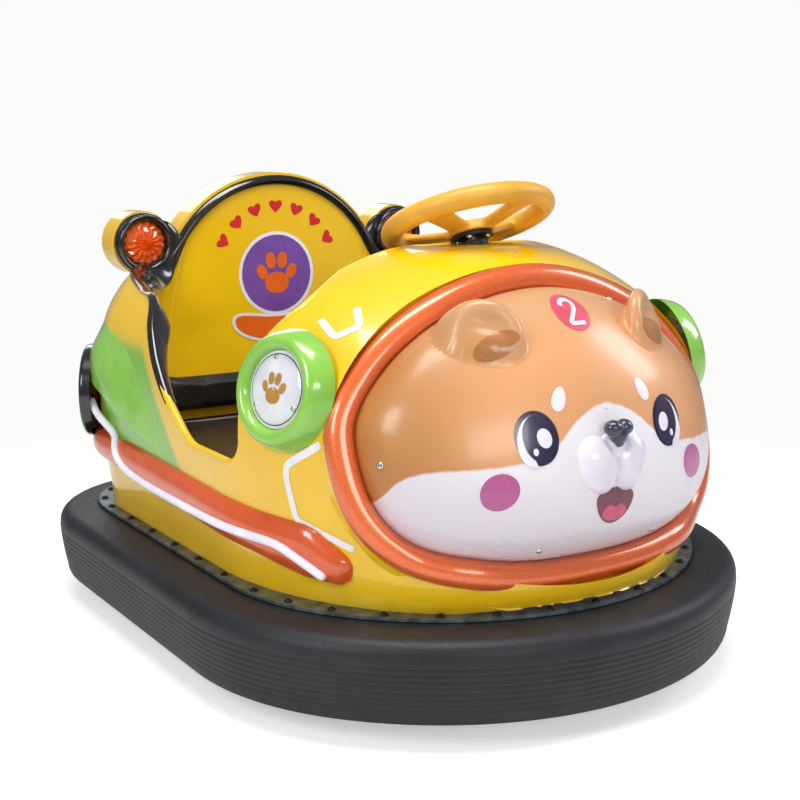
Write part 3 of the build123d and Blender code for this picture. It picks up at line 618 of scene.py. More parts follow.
def even_loop(points, count):
    """The same closed loop with its points spread evenly."""
    ends = points + points[:1]
    lengths = [(q - p).length for p, q in zip(ends, ends[1:])]
    total, spread, gone, i = sum(lengths), [], 0.0, 0
    for k in range(count):
        want = total * k / count
        while gone + lengths[i] < want:
            gone += lengths[i]
            i += 1
        spread.append(ends[i].lerp(ends[i + 1], (want - gone) / lengths[i]))
    return spread


def flake_paint():
    """Orange lacquer full of fine metal flake under a thick gloss, with tiny bright grains.  Its colour
    carries painted shade: bright orange where it faces the viewer, darkening to burnt orange round its
    sides."""
    material, tree, place, shader = new_finish("orange_flake_lacquer", {
        "Metallic": 0.25, "Roughness": 0.34, "Coat Weight": 1.0, "Coat Roughness": 0.05})
    # Painted shade: the colour runs from bright orange facing the viewer to burnt orange at the grazing
    # sides.
    turn = add_node(tree, "ShaderNodeLayerWeight", {"Blend": 0.42})
    base = blended(tree, turn.outputs["Facing"], srgb("#F06A2C"), srgb("#B8481C"))
    flake = add_node(tree, "ShaderNodeTexVoronoi", {"Vector": place, "Scale": 900.0})
    grain = add_node(tree, "ShaderNodeMapRange", {"Value": flake.outputs["Color"], "From Min": 0.55,
                                                  "From Max": 1.0, "To Max": 0.5})
    tree.links.new(blended(tree, grain.outputs[0], base, srgb("#FFA46A")), shader.inputs["Base Color"])
    ripple(tree, place, shader, 0.03, 0.0008, 0.3, 1)
    return material


def ring_loop():
    """The bead's middle line, pushed forwards wherever the shell would swallow the bead."""
    loop = even_loop([face_spot(*oval_spot(2 * math.pi * i / 400, ring_half_width, ring_half_height))
                      for i in range(400)], 220)
    push = []
    for spot in loop:
        need = 0.0
        for share in (0.6, 1.0, 1.3):
            outer = spot + (spot - face_middle).normalized() * ring_tube * (share - 0.3)
            hit, normal, face, gap = body_skin.ray_cast(outer + face_out * 0.25, -face_out)
            if hit is not None:
                need = max(need, (hit - spot).dot(face_out) - 0.004)
        push.append(min(need, ring_push_limit))
    for trial in range(10):
        push = [(push[i - 1] + push[i] * 2 + push[(i + 1) % len(push)]) / 4 for i in range(len(push))]
    return [spot + face_out * far for spot, far in zip(loop, push)]


def skirt_rows():
    """A skirt in the shell's colour, which closes the gap between the bead's outer side and the shell."""
    rows = []
    loop = ring_loop()
    for i, spot in enumerate(loop):
        along = (loop[(i + 1) % len(loop)] - loop[i - 1]).normalized()
        aside = face_out.cross(along)
        if aside.dot(spot - face_middle) < 0:
            aside = -aside
        top = spot + aside * ring_tube * 0.80 - face_out * ring_tube * 0.1
        foot, normal, face, gap = body_skin.find_nearest(spot + aside * 0.034 - face_out * 0.036)
        foot -= normal * 0.003
        rows.append([top.lerp(foot, k / 6) for k in range(7)])
    return rows


def ring_rows():
    """Rounded sections along the ring, with a faint ridge towards the front and the outside."""
    loop = ring_loop()
    rows = []
    for i, spot in enumerate(loop):
        along = (loop[(i + 1) % len(loop)] - loop[i - 1]).normalized()
        out = Vector((0.832 * spot.x, -1, 0.324)).normalized()
        out = (out - along * out.dot(along)).normalized()
        aside = out.cross(along)
        row = []
        for k in range(28):
            turn = 2 * math.pi * k / 28
            swell = 1 + 0.05 * math.exp(-((turn - 1.05) / 0.22) ** 2)
            row.append(spot + (aside * math.cos(turn) + out * math.sin(turn)) * ring_tube * swell)
        rows.append(row)
    return rows


flake_orange = flake_paint()
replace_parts(add_piece("nose_ring_bead", grid_mesh("nose_ring_bead", ring_rows(), around=True, along=True),
                      flake_orange), "face_ring")
skirt = grid_mesh("nose_ring_skirt", skirt_rows(), along=True)
add_piece("nose_ring_skirt", skirt, yellow_coat)

# ==== Nose dome ====================================================================================
# The face is a separate glass-fibre bowl screwed on inside the ring, airbrushed in matt-edged tones
# under clear lacquer: tan, peach in the middle, white below, with painted shade towards the ring and
# painted light towards the top.  Two ears rise out of its top, and their hollows carry painted shade.
dome_wide = ring_half_width - 0.021
dome_tall = ring_half_height - 0.021
dome_depth = 0.150
ear_foot = Vector((0.176, 0.138))
ear_half = Vector((0.063, 0.042))
ear_rise = 0.060
ear_tip_shift = -0.010


def dome_spot(across, up):
    """The smooth bowl without its ears."""
    power = squareness(up)
    reach = abs(across / dome_wide) ** power + abs(up / dome_tall) ** power
    return face_spot(across, up, dome_depth * max(0.0, 1 - reach) ** (1 / 2.3))


def ear_share(across, up):
    """How much a place of the bowl rises into an ear, and how far it lies in front of the ear's ridge."""
    local = Vector((abs(across), up)) - ear_foot
    lean_cos, lean_sin = 0.93, 0.36
    u = (local.x * lean_cos + local.y * lean_sin) / ear_half.x
    w = (-local.x * lean_sin + local.y * lean_cos) / ear_half.y
    return max(0.0, 1 - abs(u) ** 2.2 - abs(w) ** 2.2), u, w


def eared_spot(across, up):
    """The bowl with its ears pulled up out of it, scooped out in front."""
    spot = dome_spot(across, up)
    share, u, w = ear_share(across, up)
    if share <= 0:
        return spot
    side = 1 if across > 0 else -1
    tip = Vector((side * ear_tip_shift, -0.006, ear_rise))
    lift = share ** 0.62
    scoop = math.exp(-((w + 0.46) / 0.30) ** 2) * max(0.0, 1 - (u / 0.72) ** 2)
    return spot + tip * lift * (1 - 0.10 * u * side) + Vector((0, 0.012, -0.014)) * scoop * lift


def dome_rows():
    """Rings of points from the middle of the bowl to its edge, closer together near the edge."""
    rings, around = 96, 300
    rows = []
    for j in range(rings + 1):
        share = 1 - (1 - j / rings) ** 1.7
        share = 0.004 + 0.996 * share
        row = []
        for i in range(around):
            x, v = oval_spot(2 * math.pi * i / around, dome_wide, dome_tall)
            row.append(eared_spot(x * share, v * share))
        rows.append(row)
    rows.append([p - face_out * 0.02 for p in rows[-1]])
    return rows


def face_airbrush():
    """Airbrushed enamel under satin lacquer: tan with a peach middle and a white mask whose soft edge rises
    to a point between the eyes.  Painted shade darkens both towards the ring; painted light pales the top."""
    material, tree, place, shader = new_finish("airbrushed_enamel", {
        "Roughness": 0.42, "Coat Weight": 0.55, "Coat Roughness": 0.18, "Coat IOR": 1.45})
    away = add_node(tree, "ShaderNodeVectorMath", {0: place, 1: tuple(-face_middle)}, operation="ADD")
    rise = add_node(tree, "ShaderNodeVectorMath", {0: away.outputs[0], 1: tuple(face_up)},
                    operation="DOT_PRODUCT").outputs["Value"]
    across = add_node(tree, "ShaderNodeSeparateXYZ", {0: place}).outputs["X"]
    wide = add_node(tree, "ShaderNodeMath", {0: across}, operation="ABSOLUTE").outputs[0]
    share = add_node(tree, "ShaderNodeMath", {0: wide, 1: 0.4}, operation="DIVIDE").outputs[0]
    line = add_node(tree, "ShaderNodeFloatCurve", {"Value": share})
    curve = line.mapping.curves[0]
    for x, v in MASK_LINE[1:-1]:
        curve.points.new(x / 0.4, 0.5 + v * 2)
    curve.points[0].location = (0, 0.5 + MASK_LINE[0][1] * 2)
    curve.points[-1].location = (1, 0.5 + MASK_LINE[-1][1] * 2)
    line.mapping.update()
    level = add_node(tree, "ShaderNodeMapRange", {"Value": line.outputs[0], "To Min": -0.25,
                                                  "To Max": 0.25})
    cloud = add_node(tree, "ShaderNodeTexNoise", {"Vector": place, "Scale": 60.0, "Detail": 4.0})
    fringe = add_node(tree, "ShaderNodeMath", {0: cloud.outputs["Fac"], 1: 0.006, 2: rise},
                      operation="MULTIPLY_ADD")
    above = add_node(tree, "ShaderNodeMath", {0: fringe.outputs[0], 1: level.outputs[0]},
                     operation="SUBTRACT")
    mask = add_node(tree, "ShaderNodeMapRange", {"Value": above.outputs[0], "From Min": 0.006,
                                                 "From Max": 0.0},
                    interpolation_type="SMOOTHSTEP").outputs[0]
    side = add_node(tree, "ShaderNodeMath", {0: wide, 1: dome_wide}, operation="DIVIDE").outputs[0]
    tall = add_node(tree, "ShaderNodeMath", {0: rise, 1: dome_tall}, operation="DIVIDE").outputs[0]
    radial = add_node(tree, "ShaderNodeCombineXYZ", {0: side, 1: tall})
    edge = add_node(tree, "ShaderNodeVectorMath", {0: radial.outputs[0]},
                    operation="LENGTH").outputs["Value"]
    # Painted shade: the tan darkens to ochre and the white greys towards the ring, where the bowl sinks
    # under it.
    shade = add_node(tree, "ShaderNodeMapRange", {"Value": edge, "From Min": 0.45, "From Max": 1.05},
                     interpolation_type="SMOOTHSTEP").outputs[0]
    tan = blended(tree, shade, srgb("#E2A26C"), srgb("#B4783A"))
    # Painted light: the tan pales towards the top of the bowl, as if lit from above.
    pale = add_node(tree, "ShaderNodeMapRange", {"Value": tall, "From Min": 0.45, "From Max": 0.95,
                                                 "To Max": 0.35}, interpolation_type="SMOOTHSTEP").outputs[0]
    tan = blended(tree, pale, tan, srgb("#F0CBA0"))
    white = blended(tree, shade, srgb("#F1ECF0"), srgb("#DCD3DC"))
    tree.links.new(blended(tree, mask, tan, white), shader.inputs["Base Color"])
    ripple(tree, place, shader, 0.04, 0.0008, 0.3, 2)
    return material


MASK_LINE = [        # the white mask's upper edge: distance from the middle, height up the face
    (0.0, 0.011), (0.034, 0.001), (0.069, -0.018), (0.094, -0.039), (0.117, -0.055), (0.145, -0.064),
    (0.176, -0.069), (0.223, -0.069), (0.266, -0.064), (0.300, -0.060), (0.330, -0.060), (0.345, -0.068),
    (0.360, -0.090), (0.400, -0.16),
]
skin_paint = face_airbrush()
bowl_mesh = grid_mesh("face_bowl", dome_rows(), around=True)
bowl = add_piece("face_bowl", bowl_mesh, skin_paint, 180)
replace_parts(bowl, "face_dome")
bowl_skin = skin_of(bowl)


def on_bowl(across, up, lift=0.0006):
    """A place on the bowl seen square to the face, lifted off its surface."""
    start = face_spot(across, up, 0.5)
    hit, normal, face, gap = bowl_skin.ray_cast(start, -face_out)
    if normal.dot(face_out) < 0:
        normal = -normal
    return hit + normal * lift


def decal(name, shape, material, lift=0.0006, rings=8, count=48):
    """A painted spot: shape(turn) gives its outline as (across, up)."""
    edge = [shape(2 * math.pi * i / count) for i in range(count)]
    x0, v0 = sum(x for x, v in edge) / count, sum(v for x, v in edge) / count
    rows = []
    for j in range(rings + 1):
        share = 0.02 + 0.98 * j / rings
        rows.append([on_bowl(x0 + (x - x0) * share, v0 + (v - v0) * share, lift) for x, v in edge])
    return add_piece(name, grid_mesh(name, rows, around=True), material)


def egg(x, v, wide, tall, tilt=0.0, power=2.0, point=0.0):
    """An oval outline, turned by tilt; point narrows its lower end."""
    def shape(turn):
        a = math.copysign(abs(math.cos(turn)) ** (2 / power), math.cos(turn)) * wide
        b = math.copysign(abs(math.sin(turn)) ** (2 / power), math.sin(turn)) * tall
        a *= 1 + point * b / tall
        return (x + a * math.cos(tilt) - b * math.sin(tilt), v + a * math.sin(tilt) + b * math.cos(tilt))
    return shape


def enamel(name, low, high, roughness=0.35):
    """A spot of sign enamel brushed flat under the lacquer."""
    return plain_finish(name, low, high, (0.03, 2), (0.01, 0.0002, 0.2, 2),
                        {"Roughness": roughness, "Coat Weight": 0.6, "Coat Roughness": 0.1})


iris_dark = enamel("plum_black_enamel", "#241A3C", "#2E2348", 0.25)
spot_white = enamel("white_enamel", "#ECE6F2", "#F6F2FA")
cheek_pink = enamel("cheek_pink_enamel", "#B4528C", "#BE5C96")
cream = enamel("cream_enamel", "#F0E4F0", "#F8EEF8")
disc_red = enamel("coral_enamel", "#D84A62", "#E05A70")
mouth_dark = enamel("maroon_enamel", "#6E1E40", "#7C2648")
tongue_red = enamel("tongue_enamel", "#C23A60", "#D04A70")
# Painted shade: a darker brown laid in each ear's scooped hollow, where shade falls.
ear_hollow_shade = enamel("ear_hollow_painted_shade", "#A5672E", "#B37238", 0.45)
COATS = (0.0007, 0.0011, 0.0015, 0.0019)     # height of each coat of enamel over the bowl
rim_outer, rim_inner, rim_tall = 0.0345, 0.0345 * 0.74, 0.043


def eye_rim(side):
    """The white rim of one eye: a crescent, up along its outer arc and down along a flatter one."""
    def shape(turn):
        a = math.sin(turn)
        wide = rim_outer if math.cos(turn) > 0 else rim_inner
        return side * (0.137 + wide * abs(math.cos(turn)) ** 0.9 + 0.004 - 0.004 * a), -0.036 + rim_tall * a
    return shape


for side, hand in ((-1, "right"), (1, "left")):
    decal(f"eye_{hand}", egg(side * 0.141, -0.032, 0.0375, 0.0455, side * -0.18), iris_dark,
          COATS[0])
    decal(f"eye_rim_{hand}", eye_rim(side), spot_white, COATS[1], rings=6)
    decal(f"eye_core_{hand}", egg(side * 0.1365, -0.033, 0.0290, 0.0400, side * -0.14), iris_dark,
          COATS[2])
    decal(f"eye_light_{hand}", egg(side * 0.129, -0.034, 0.0125, 0.0165, side * -0.25), spot_white,
          COATS[3], rings=4)
    decal(f"eye_glint_{hand}", egg(side * 0.147, -0.054, 0.0045, 0.0060), spot_white,
          COATS[3], rings=3, count=24)
    decal(f"brow_{hand}", egg(side * 0.090, 0.026, 0.0125, 0.0215, side * 0.42, point=-0.15), cream,
          rings=5)
    decal(f"cheek_{hand}", egg(side * 0.210, -0.108, 0.031, 0.029), cheek_pink)
# Each ear's hollow gets a film of painted shade.
for side, hand in ((-1, "right"), (1, "left")):
    decal(f"ear_hollow_{hand}", egg(side * 0.170, 0.127, 0.038, 0.021, side * -0.36), ear_hollow_shade)
decal("number_disc", egg(0, 0.173, 0.0345, 0.0365), disc_red)
NUMERAL = [          # across, up the face
    (-0.014, 0.186), (-0.010, 0.195), (0.002, 0.199), (0.012, 0.193), (0.012, 0.182), (-0.002, 0.166),
    (-0.015, 0.151), (0.017, 0.151),
]


def painted_stroke(name, points, width, material, lift, ease=0.007):
    """A brush stroke of even width along points on the bowl."""
    path = eased([Vector((x, v, 0)) for x, v in points], ease)
    rows = []
    for i, spot in enumerate(path):
        along = (path[min(i + 1, len(path) - 1)] - path[max(i - 1, 0)]).normalized()
        aside = Vector((-along.y, along.x, 0)) * width / 2
        rows.append([on_bowl(spot.x + aside.x * k, spot.y + aside.y * k, lift) for k in (-1, 0, 1)])
    return add_piece(name, grid_mesh(name, rows), material)


painted_stroke("numeral_two", NUMERAL, 0.0075, spot_white, 0.0012)


RIM_SCREWS = [(0.137, 0.200), (0.358, -0.033), (0.124, -0.213)]     # across, up the face
# Nickel-chrome plate on steel screws: a bright mirror with fine haze.
chrome_plate = plain_finish("chrome_plate", "#C9CBD0", "#E6E7EA", (0.003, 3), (0.0015, 0.0001, 0.3, 2),
                            {"Metallic": 1.0, "Roughness": 0.12}, (0.08, 0.22))
spots = []
for side in (-1, 1):
    for across, up in RIM_SCREWS:
        base, near = on_bowl(side * across, up, 0), on_bowl(side * across * 0.97, up, 0)
        above = on_bowl(side * across, up * 0.97, 0)
        out = (near - base).cross(above - base).normalized()
        spots.append((base - out * 0.0003, out if out.dot(face_out) > 0 else -out))
screw_heads("bowl_screws", spots, 0.0062, 0.0034, chrome_plate)

# ==== Snout ========================================================================================
# Two plump pads and a nose tip are moulded in glass fibre, bonded on the bowl and sprayed before the
# lacquer.  The open mouth and the tongue below them are only painted.
def melted(name, shapes, grain, rounds):
    """Ellipsoids melted into one skin; each shape is (middle, half sizes, turn about x, y, z)."""
    work = bmesh.new()
    for middle, half, turn in shapes:
        stand = Matrix.Translation(middle) @ Euler(turn).to_matrix().to_4x4() @ Matrix.Diagonal((*half, 1))
        bmesh.ops.create_icosphere(work, subdivisions=4, radius=1, matrix=stand)
    mesh = bpy.data.meshes.new(name)
    work.to_mesh(mesh)
    work.free()
    return remeshed(name, mesh, grain, rounds)


def remeshed(name, mesh, grain, rounds):
    """The mesh cast again in even cells, with its edges worn round."""
    dummy = bpy.data.objects.new(name, mesh)
    scene.collection.objects.link(dummy)
    cells = dummy.modifiers.new("cells", "REMESH")
    cells.mode, cells.voxel_size = "VOXEL", grain
    worn = dummy.modifiers.new("worn", "SMOOTH")
    worn.factor, worn.iterations = 0.5, rounds
    result = bpy.data.meshes.new_from_object(dummy.evaluated_get(bpy.context.evaluated_depsgraph_get()))
    bpy.data.objects.remove(dummy)
    result.name = name
    result.materials.clear()
    return result


def lacquered(name, low, high, roughness=0.3, coat=0.8):
    """Gel coat or two-pack paint on a moulding, smooth and even under a clear gloss."""
    return plain_finish(name, low, high, (0.05, 2), (0.032, 0.0005, 0.25, 1),
                        {"Roughness": roughness, "Coat Weight": coat, "Coat Roughness": 0.07})


pad_white = lacquered("lilac_white_lacquer", "#E4DCEC", "#EEE8F4", 0.35)
nose_dark = lacquered("slate_lacquer", "#2E2B3E", "#383450", 0.32)
pads = [(Vector((side * 0.033, -0.655, 0.452)), (0.0385, 0.030, 0.051), (math.radians(-6), side * 0.30, 0))
        for side in (-1, 1)]
pads.append((Vector((0, -0.652, 0.478)), (0.030, 0.022, 0.026), (0, 0, 0)))
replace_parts(add_piece("snout_pads", melted("snout_pads", pads, 0.0022, 10), pad_white,
                      180), "muzzle")
tip = [(Vector((side * 0.011, -0.671, 0.514)), (0.0165, 0.016, 0.0145), (0, 0, 0)) for side in (-1, 1)]
tip += [(Vector((0, -0.671, 0.504)), (0.0165, 0.017, 0.018), (0, 0, 0)),
        (Vector((0, -0.670, 0.493)), (0.009, 0.014, 0.012), (0, 0, 0))]
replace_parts(add_piece("nose_tip", melted("nose_tip", tip, 0.0014, 12), nose_dark,
                      180), "nose")


def mouth_shape(turn):
    """A wide smile narrowing downwards."""
    x, v = math.cos(turn), math.sin(turn)
    return 0.003 + 0.040 * x * (1 + 0.10 * v), -0.150 + (0.020 if v > 0 else 0.038) * v


def tongue_shape(turn):
    """A tongue with a notch in its top edge."""
    x, v = math.cos(turn), math.sin(turn)
    notch = 0.006 * math.exp(-(x / 0.22) ** 2) if v > 0 else 0.0
    return 0.003 + 0.026 * x, -0.169 + (0.013 if v > 0 else 0.0145) * v - notch


decal("mouth", mouth_shape, mouth_dark, 0.0008)
decal("tongue", tongue_shape, tongue_red, 0.0014)

# ==== Backrest trim and cockpit lining =============================================================
# A band of black gel coat follows the arch and the tops of both wings and widens on the wings.
# Inside it the yellow shell curves without a corner from the back panel round into the wings.
EDGE_WING = [(-0.228, 0.418, 0.0), (-0.020, 0.420, 0.090), (0.090, 0.500, 0.150), (0.245, 0.664, 0.060),
             (0.540, 0.712, 0.0)]
WING_BAND = [        # y, then the inner edge measured from the outer edge: inwards, forwards, down
    (0.068, 0.016, 0.004, 0.018), (0.105, 0.020, 0.008, 0.030), (0.150, 0.022, 0.014, 0.046),
    (0.200, 0.023, 0.022, 0.060), (0.260, 0.023, 0.030, 0.068), (0.330, 0.027, 0.036, 0.068),
    (0.400, 0.036, 0.038, 0.064), (0.455, 0.052, 0.032, 0.057),
]
CORNER_BAND = [      # outer edge and inner edge below the lamp, as (x, y, z) each
    ((0.366, 0.506, 0.706), (0.302, 0.488, 0.655)), ((0.322, 0.526, 0.712), (0.274, 0.514, 0.672)),
    ((0.290, 0.530, 0.724), (0.258, 0.525, 0.700)),
]
ARCH_BAND = [(0.294, 0.272, angle) for angle in range(34, 91, 4)]      # outer and inner radius, degrees
arch_height = 0.609
panel_front = 0.5315
LINING_FOOT = [(0.448, 0.060, 0.0), (0.448, 0.505, 0.190), (0.0, 0.505, 0.0)]      # x, y, corner radius
lining_floor = 0.357
lining_belly = 0.016


def band_edges():
    """Matched points along the band's outer and inner edges, from the left wing's end to the arch's top."""
    rim = rounded(EDGE_WING, 0.004)
    outer, inner = [], []
    for y, inwards, forwards, down in WING_BAND:
        spot = min(rim, key=lambda p: abs(p.x - y))
        hit, normal = skin_at(1, spot.x, spot.y - 0.003)
        top = Vector((hit.x, spot.x, spot.y + 0.003))
        outer.append(top)
        inner.append(top - Vector((inwards, forwards, down)))
    for first, second in CORNER_BAND:
        outer.append(Vector(first))
        inner.append(Vector(second))
    for wide, narrow, angle in ARCH_BAND:
        turn = math.radians(angle)
        outer.append(Vector((wide * math.cos(turn), panel_front, arch_height + wide * math.sin(turn))))
        inner.append(Vector((narrow * math.cos(turn), panel_front, arch_height + narrow * math.sin(turn))))
    return outer, inner


def flow(a, b, pull_a, pull_b, t):
    """A place on the smooth curve from a to b that leaves along pull_a and arrives along pull_b."""
    return (a * (2 * t**3 - 3 * t * t + 1) + pull_a * (t**3 - 2 * t * t + t)
            + b * (3 * t * t - 2 * t**3) + pull_b * (t**3 - t * t))


def last_before(marks, want, runs):
    """The number of the run between marks that a length falls in."""
    return max(0, min(runs - 1, next((j for j, mark in enumerate(marks) if mark > want), len(marks)) - 1))


def matched(first, second, count):
    """Two smooth curves through matched points, sampled at the same shares of their common length."""
    both = [(a + b) / 2 for a, b in zip(first, second)]
    gaps = [(q - p).length for p, q in zip(both, both[1:])]
    marks = [sum(gaps[:i]) for i in range(len(both))]
    pairs = []
    for k in range(count + 1):
        want = marks[-1] * k / count
        i = last_before(marks, want, len(gaps))
        t = (want - marks[i]) / gaps[i]
        pair = []
        for points in (first, second):
            a, b = points[i], points[i + 1]
            pull_a = (b - points[i - 1]) / (1 + gaps[i - 1] / gaps[i]) if i else b - a
            pull_b = b - a
            if i + 2 < len(points):
                pull_b = (points[i + 2] - a) / (1 + gaps[i + 1] / gaps[i])
            pair.append(flow(a, b, pull_a, pull_b, t))
        pairs.append(tuple(pair))
    return pairs


def flipped(p):
    """The same place on the other side of the car."""
    return Vector((-p.x, p.y, p.z))


outer_edge, inner_edge = band_edges()
half_band = matched(outer_edge, inner_edge, 110)
full_band = half_band + [(flipped(a), flipped(b)) for a, b in half_band[-2::-1]]


band_thick, band_lip, band_crown = 0.009, 0.0025, 0.0025


def band_rows():
    """Sections of the black band: rolled outer edge, slightly crowned face, turned-in inner edge."""
    rows = []
    for i, (outer, inner) in enumerate(full_band):
        ahead, back = full_band[min(i + 1, len(full_band) - 1)], full_band[max(i - 1, 0)]
        along = (ahead[0] + ahead[1] - back[0] - back[1]).normalized()
        width, across = (inner - outer).length, (inner - outer).normalized()
        face = across.cross(along).normalized()
        if face.y > 0.2 or (abs(face.y) <= 0.2 and face.z < 0):
            face = -face
        row = [outer - face * 0.006 + across * 0.001, outer + face * band_thick * 0.35,
               outer + face * band_thick * 0.8 + across * band_lip]
        for k in range(7):
            share = k / 6
            crown = band_crown * 4 * share * (1 - share)
            row.append(outer + across * (0.006 + (width - 0.012) * share) + face * (band_thick + crown))
        row += [inner + face * band_thick * 0.8 - across * band_lip, inner + face * band_thick * 0.35,
                inner - face * 0.004]
        rows.append(row)
    return rows


black_coat = lacquered("black_gel_coat", "#0D0D0F", "#121215", 0.22, 1.0)
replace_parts(add_piece("backrest_band", grid_mesh("backrest_band", band_rows()), black_coat,
                      70), "backrest_trim")


def lining_rows():
    """The yellow lining from the band's inner edge down to the seat, hollow towards the driver."""
    foot = rounded(LINING_FOOT, 0.004)
    gaps = [0.0]
    for p, q in zip(foot, foot[1:]):
        gaps.append(gaps[-1] + (q - p).length)
    half = []
    count = len(half_band) - 1
    for i, (outer, inner) in enumerate(half_band):
        want = gaps[-1] * (i / count) ** 0.9
        j = last_before(gaps, want, len(gaps) - 1)
        spot = foot[j].lerp(foot[j + 1], (want - gaps[j]) / (gaps[j + 1] - gaps[j]))
        low = Vector((spot.x, spot.y, lining_floor))
        row = []
        for k in range(33):
            t = k / 32
            p = inner.lerp(low, t)
            outward = Vector((p.x * 0.75, max(p.y - 0.12, 0), 0)).normalized()
            p = p + outward * lining_belly * math.sin(math.pi * t) ** 0.9
            p.y = min(p.y, panel_front)
            row.append(p)
        half.append(row)
    return half + [[flipped(p) for p in row] for row in half[-2::-1]]


add_piece("cockpit_lining", grid_mesh("cockpit_lining", lining_rows()), yellow_coat, 70)

# ==== Lamps ========================================================================================
# Each lamp is an amber moulded lens in a gloss black ring, on a black web that runs into the band.
# The lens is pressed with rings of facets that point at its middle.
lamp_middle = sum(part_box("lamp_lens_left"), Vector((0, 0, 0))) / 2


def turned(name, profile, place, outward, sides=72):
    """A turned mesh: profile lists (radius, height) from the outside in, about a place and a direction."""
    turn = Vector(outward).to_track_quat("Z", "Y").to_matrix()
    rows = []
    for radius, height in profile:
        rows.append([Vector(place) + turn @ Vector((radius * math.cos(2 * math.pi * i / sides),
                                                    radius * math.sin(2 * math.pi * i / sides), height))
                     for i in range(sides)])
    return grid_mesh(name, rows, around=True)


def pressed_lens(name, place, outward, radius, height, material, petals=16):
    """A pressed lens: rings of facets whose points alternate, stepping up to a small round middle."""
    turn = Vector(outward).to_track_quat("Z", "Y").to_matrix()
    rings = [(1.0, -0.15), (1.0, 0.22), (0.86, 0.52), (0.70, 0.60), (0.52, 0.86), (0.34, 0.84), (0.20, 1.0),
             (0.001, 1.06)]                # shares of the radius and of the height
    rows = []
    for j, (reach, rise) in enumerate(rings):
        row = []
        for i in range(petals * 2):
            angle = math.pi * (i + 0.5 * (j % 2)) / petals
            bump = 0.12 * (1 if i % 2 else -1) if 1 < j < 7 else 0.0
            spot = Vector((reach * radius * math.cos(angle), reach * radius * math.sin(angle),
                           (rise + bump) * height))
            row.append(Vector(place) + turn @ spot)
        rows.append(row)
    return add_piece(name, grid_mesh(name, rows, around=True), material, 8)


def lens_plastic(name, low, high, glow):
    """Pressed acrylic: deep colour that lets some light through and sparkles on each facet,
    with painted shade that darkens it round its sides.
    """
    material, tree, place, shader = new_finish(name, {
        "Roughness": 0.12, "Transmission Weight": 0.35, "IOR": 1.49, "Coat Weight": 0.6,
        "Coat Roughness": 0.04, "Emission Color": srgb(glow), "Emission Strength": 0.12})
    # Painted shade: the high colour where the lens faces the viewer, the low colour round its sides.
    turn = add_node(tree, "ShaderNodeLayerWeight", {"Blend": 0.4})
    tree.links.new(blended(tree, turn.outputs["Facing"], srgb(high), srgb(low)), shader.inputs["Base Color"])
    ripple(tree, place, shader, 0.006, 0.0002, 0.2, 1)
    return material


LAMP_RING = [        # radius, depth from the ring's seat
    (0.0625, 0.010), (0.0625, -0.008), (0.0615, -0.0135), (0.0585, -0.0165), (0.0545, -0.0160),
    (0.0515, -0.0125), (0.0500, -0.0060), (0.0490, 0.0060),
]
WEB_SECTION = [      # share of the web's radius, y
    (1.0, 0.5345), (1.0, 0.5255), (0.985, 0.5235), (0.8, 0.523), (0.5, 0.523),
]
web_radius, web_reach, web_spread = 0.0665, 0.024, 1.25      # its spread is an angle in radians
# Amber: orange-red for the painted shade round the sides, bright orange where it faces the viewer.
amber = lens_plastic("amber_acrylic", "#B8380A", "#F4691C", "#FF6A1A")
for side, hand in ((-1, "right"), (1, "left")):
    middle = Vector((side * lamp_middle.x, 0.526, lamp_middle.z))
    ring = turned(f"lamp_ring_{hand}", [(r, -d) for r, d in LAMP_RING], middle, (0, -1, 0))
    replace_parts(add_piece(f"lamp_ring_{hand}", ring, black_coat, 60),
                f"lamp_bezel_{hand}")
    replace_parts(pressed_lens(f"lamp_facets_{hand}", middle + Vector((0, 0.004, 0)), (0, -1, 0), 0.0495,
                             0.020, amber), f"lamp_lens_{hand}")
    rows = []
    towards = math.atan2(arch_height - lamp_middle.z, -lamp_middle.x)
    for reach, depth in WEB_SECTION:
        row = []
        for i in range(96):
            angle = 2 * math.pi * i / 96
            swing = abs((angle - towards + math.pi) % (2 * math.pi) - math.pi)
            pull = max(0.0, math.cos(min(swing / web_spread, 1) * math.pi / 2)) ** 0.8
            radius = web_radius + web_reach * pull
            row.append(Vector((side * (lamp_middle.x + radius * reach * math.cos(angle)), depth,
                               lamp_middle.z + radius * reach * math.sin(angle))))
        rows.append(row)
    web = grid_mesh(f"lamp_web_{hand}", rows, around=True)
    add_piece(f"lamp_web_{hand}", web, black_coat, 60)

# ==== Side pods and light tubes ====================================================================
# A rounded orange moulding is screwed low on each flank, tapering to a soft point at the front.
# A milky silicone light tube lies in it and climbs to the tail lamp.
POD_EDGE = [         # y, z, corner radius
    (0.520, 0.368, 0.0), (0.300, 0.371, 0.30), (-0.190, 0.354, 0.50), (-0.385, 0.345, 0.06),
    (-0.448, 0.290, 0.030), (-0.436, 0.243, 0.022), (-0.360, 0.247, 0.06), (-0.250, 0.270, 0.20),
    (0.120, 0.290, 0.30), (0.520, 0.316, 0.0),
]
POD_SPINE = [(0.520, 0.342), (0.300, 0.334), (-0.190, 0.316), (-0.350, 0.297), (-0.405, 0.280)]
TUBE_ROUTE = [       # y, z
    (0.455, 0.430), (0.385, 0.398), (0.327, 0.362), (0.270, 0.325), (0.180, 0.312), (0.010, 0.309),
    (-0.180, 0.309), (-0.323, 0.307), (-0.361, 0.294), (-0.394, 0.277), (-0.414, 0.263),
]
pod_swell = 0.024
tube_radius = 0.0078
tube_rise = 0.016        # how much further out it runs at its rear end, over the haunch


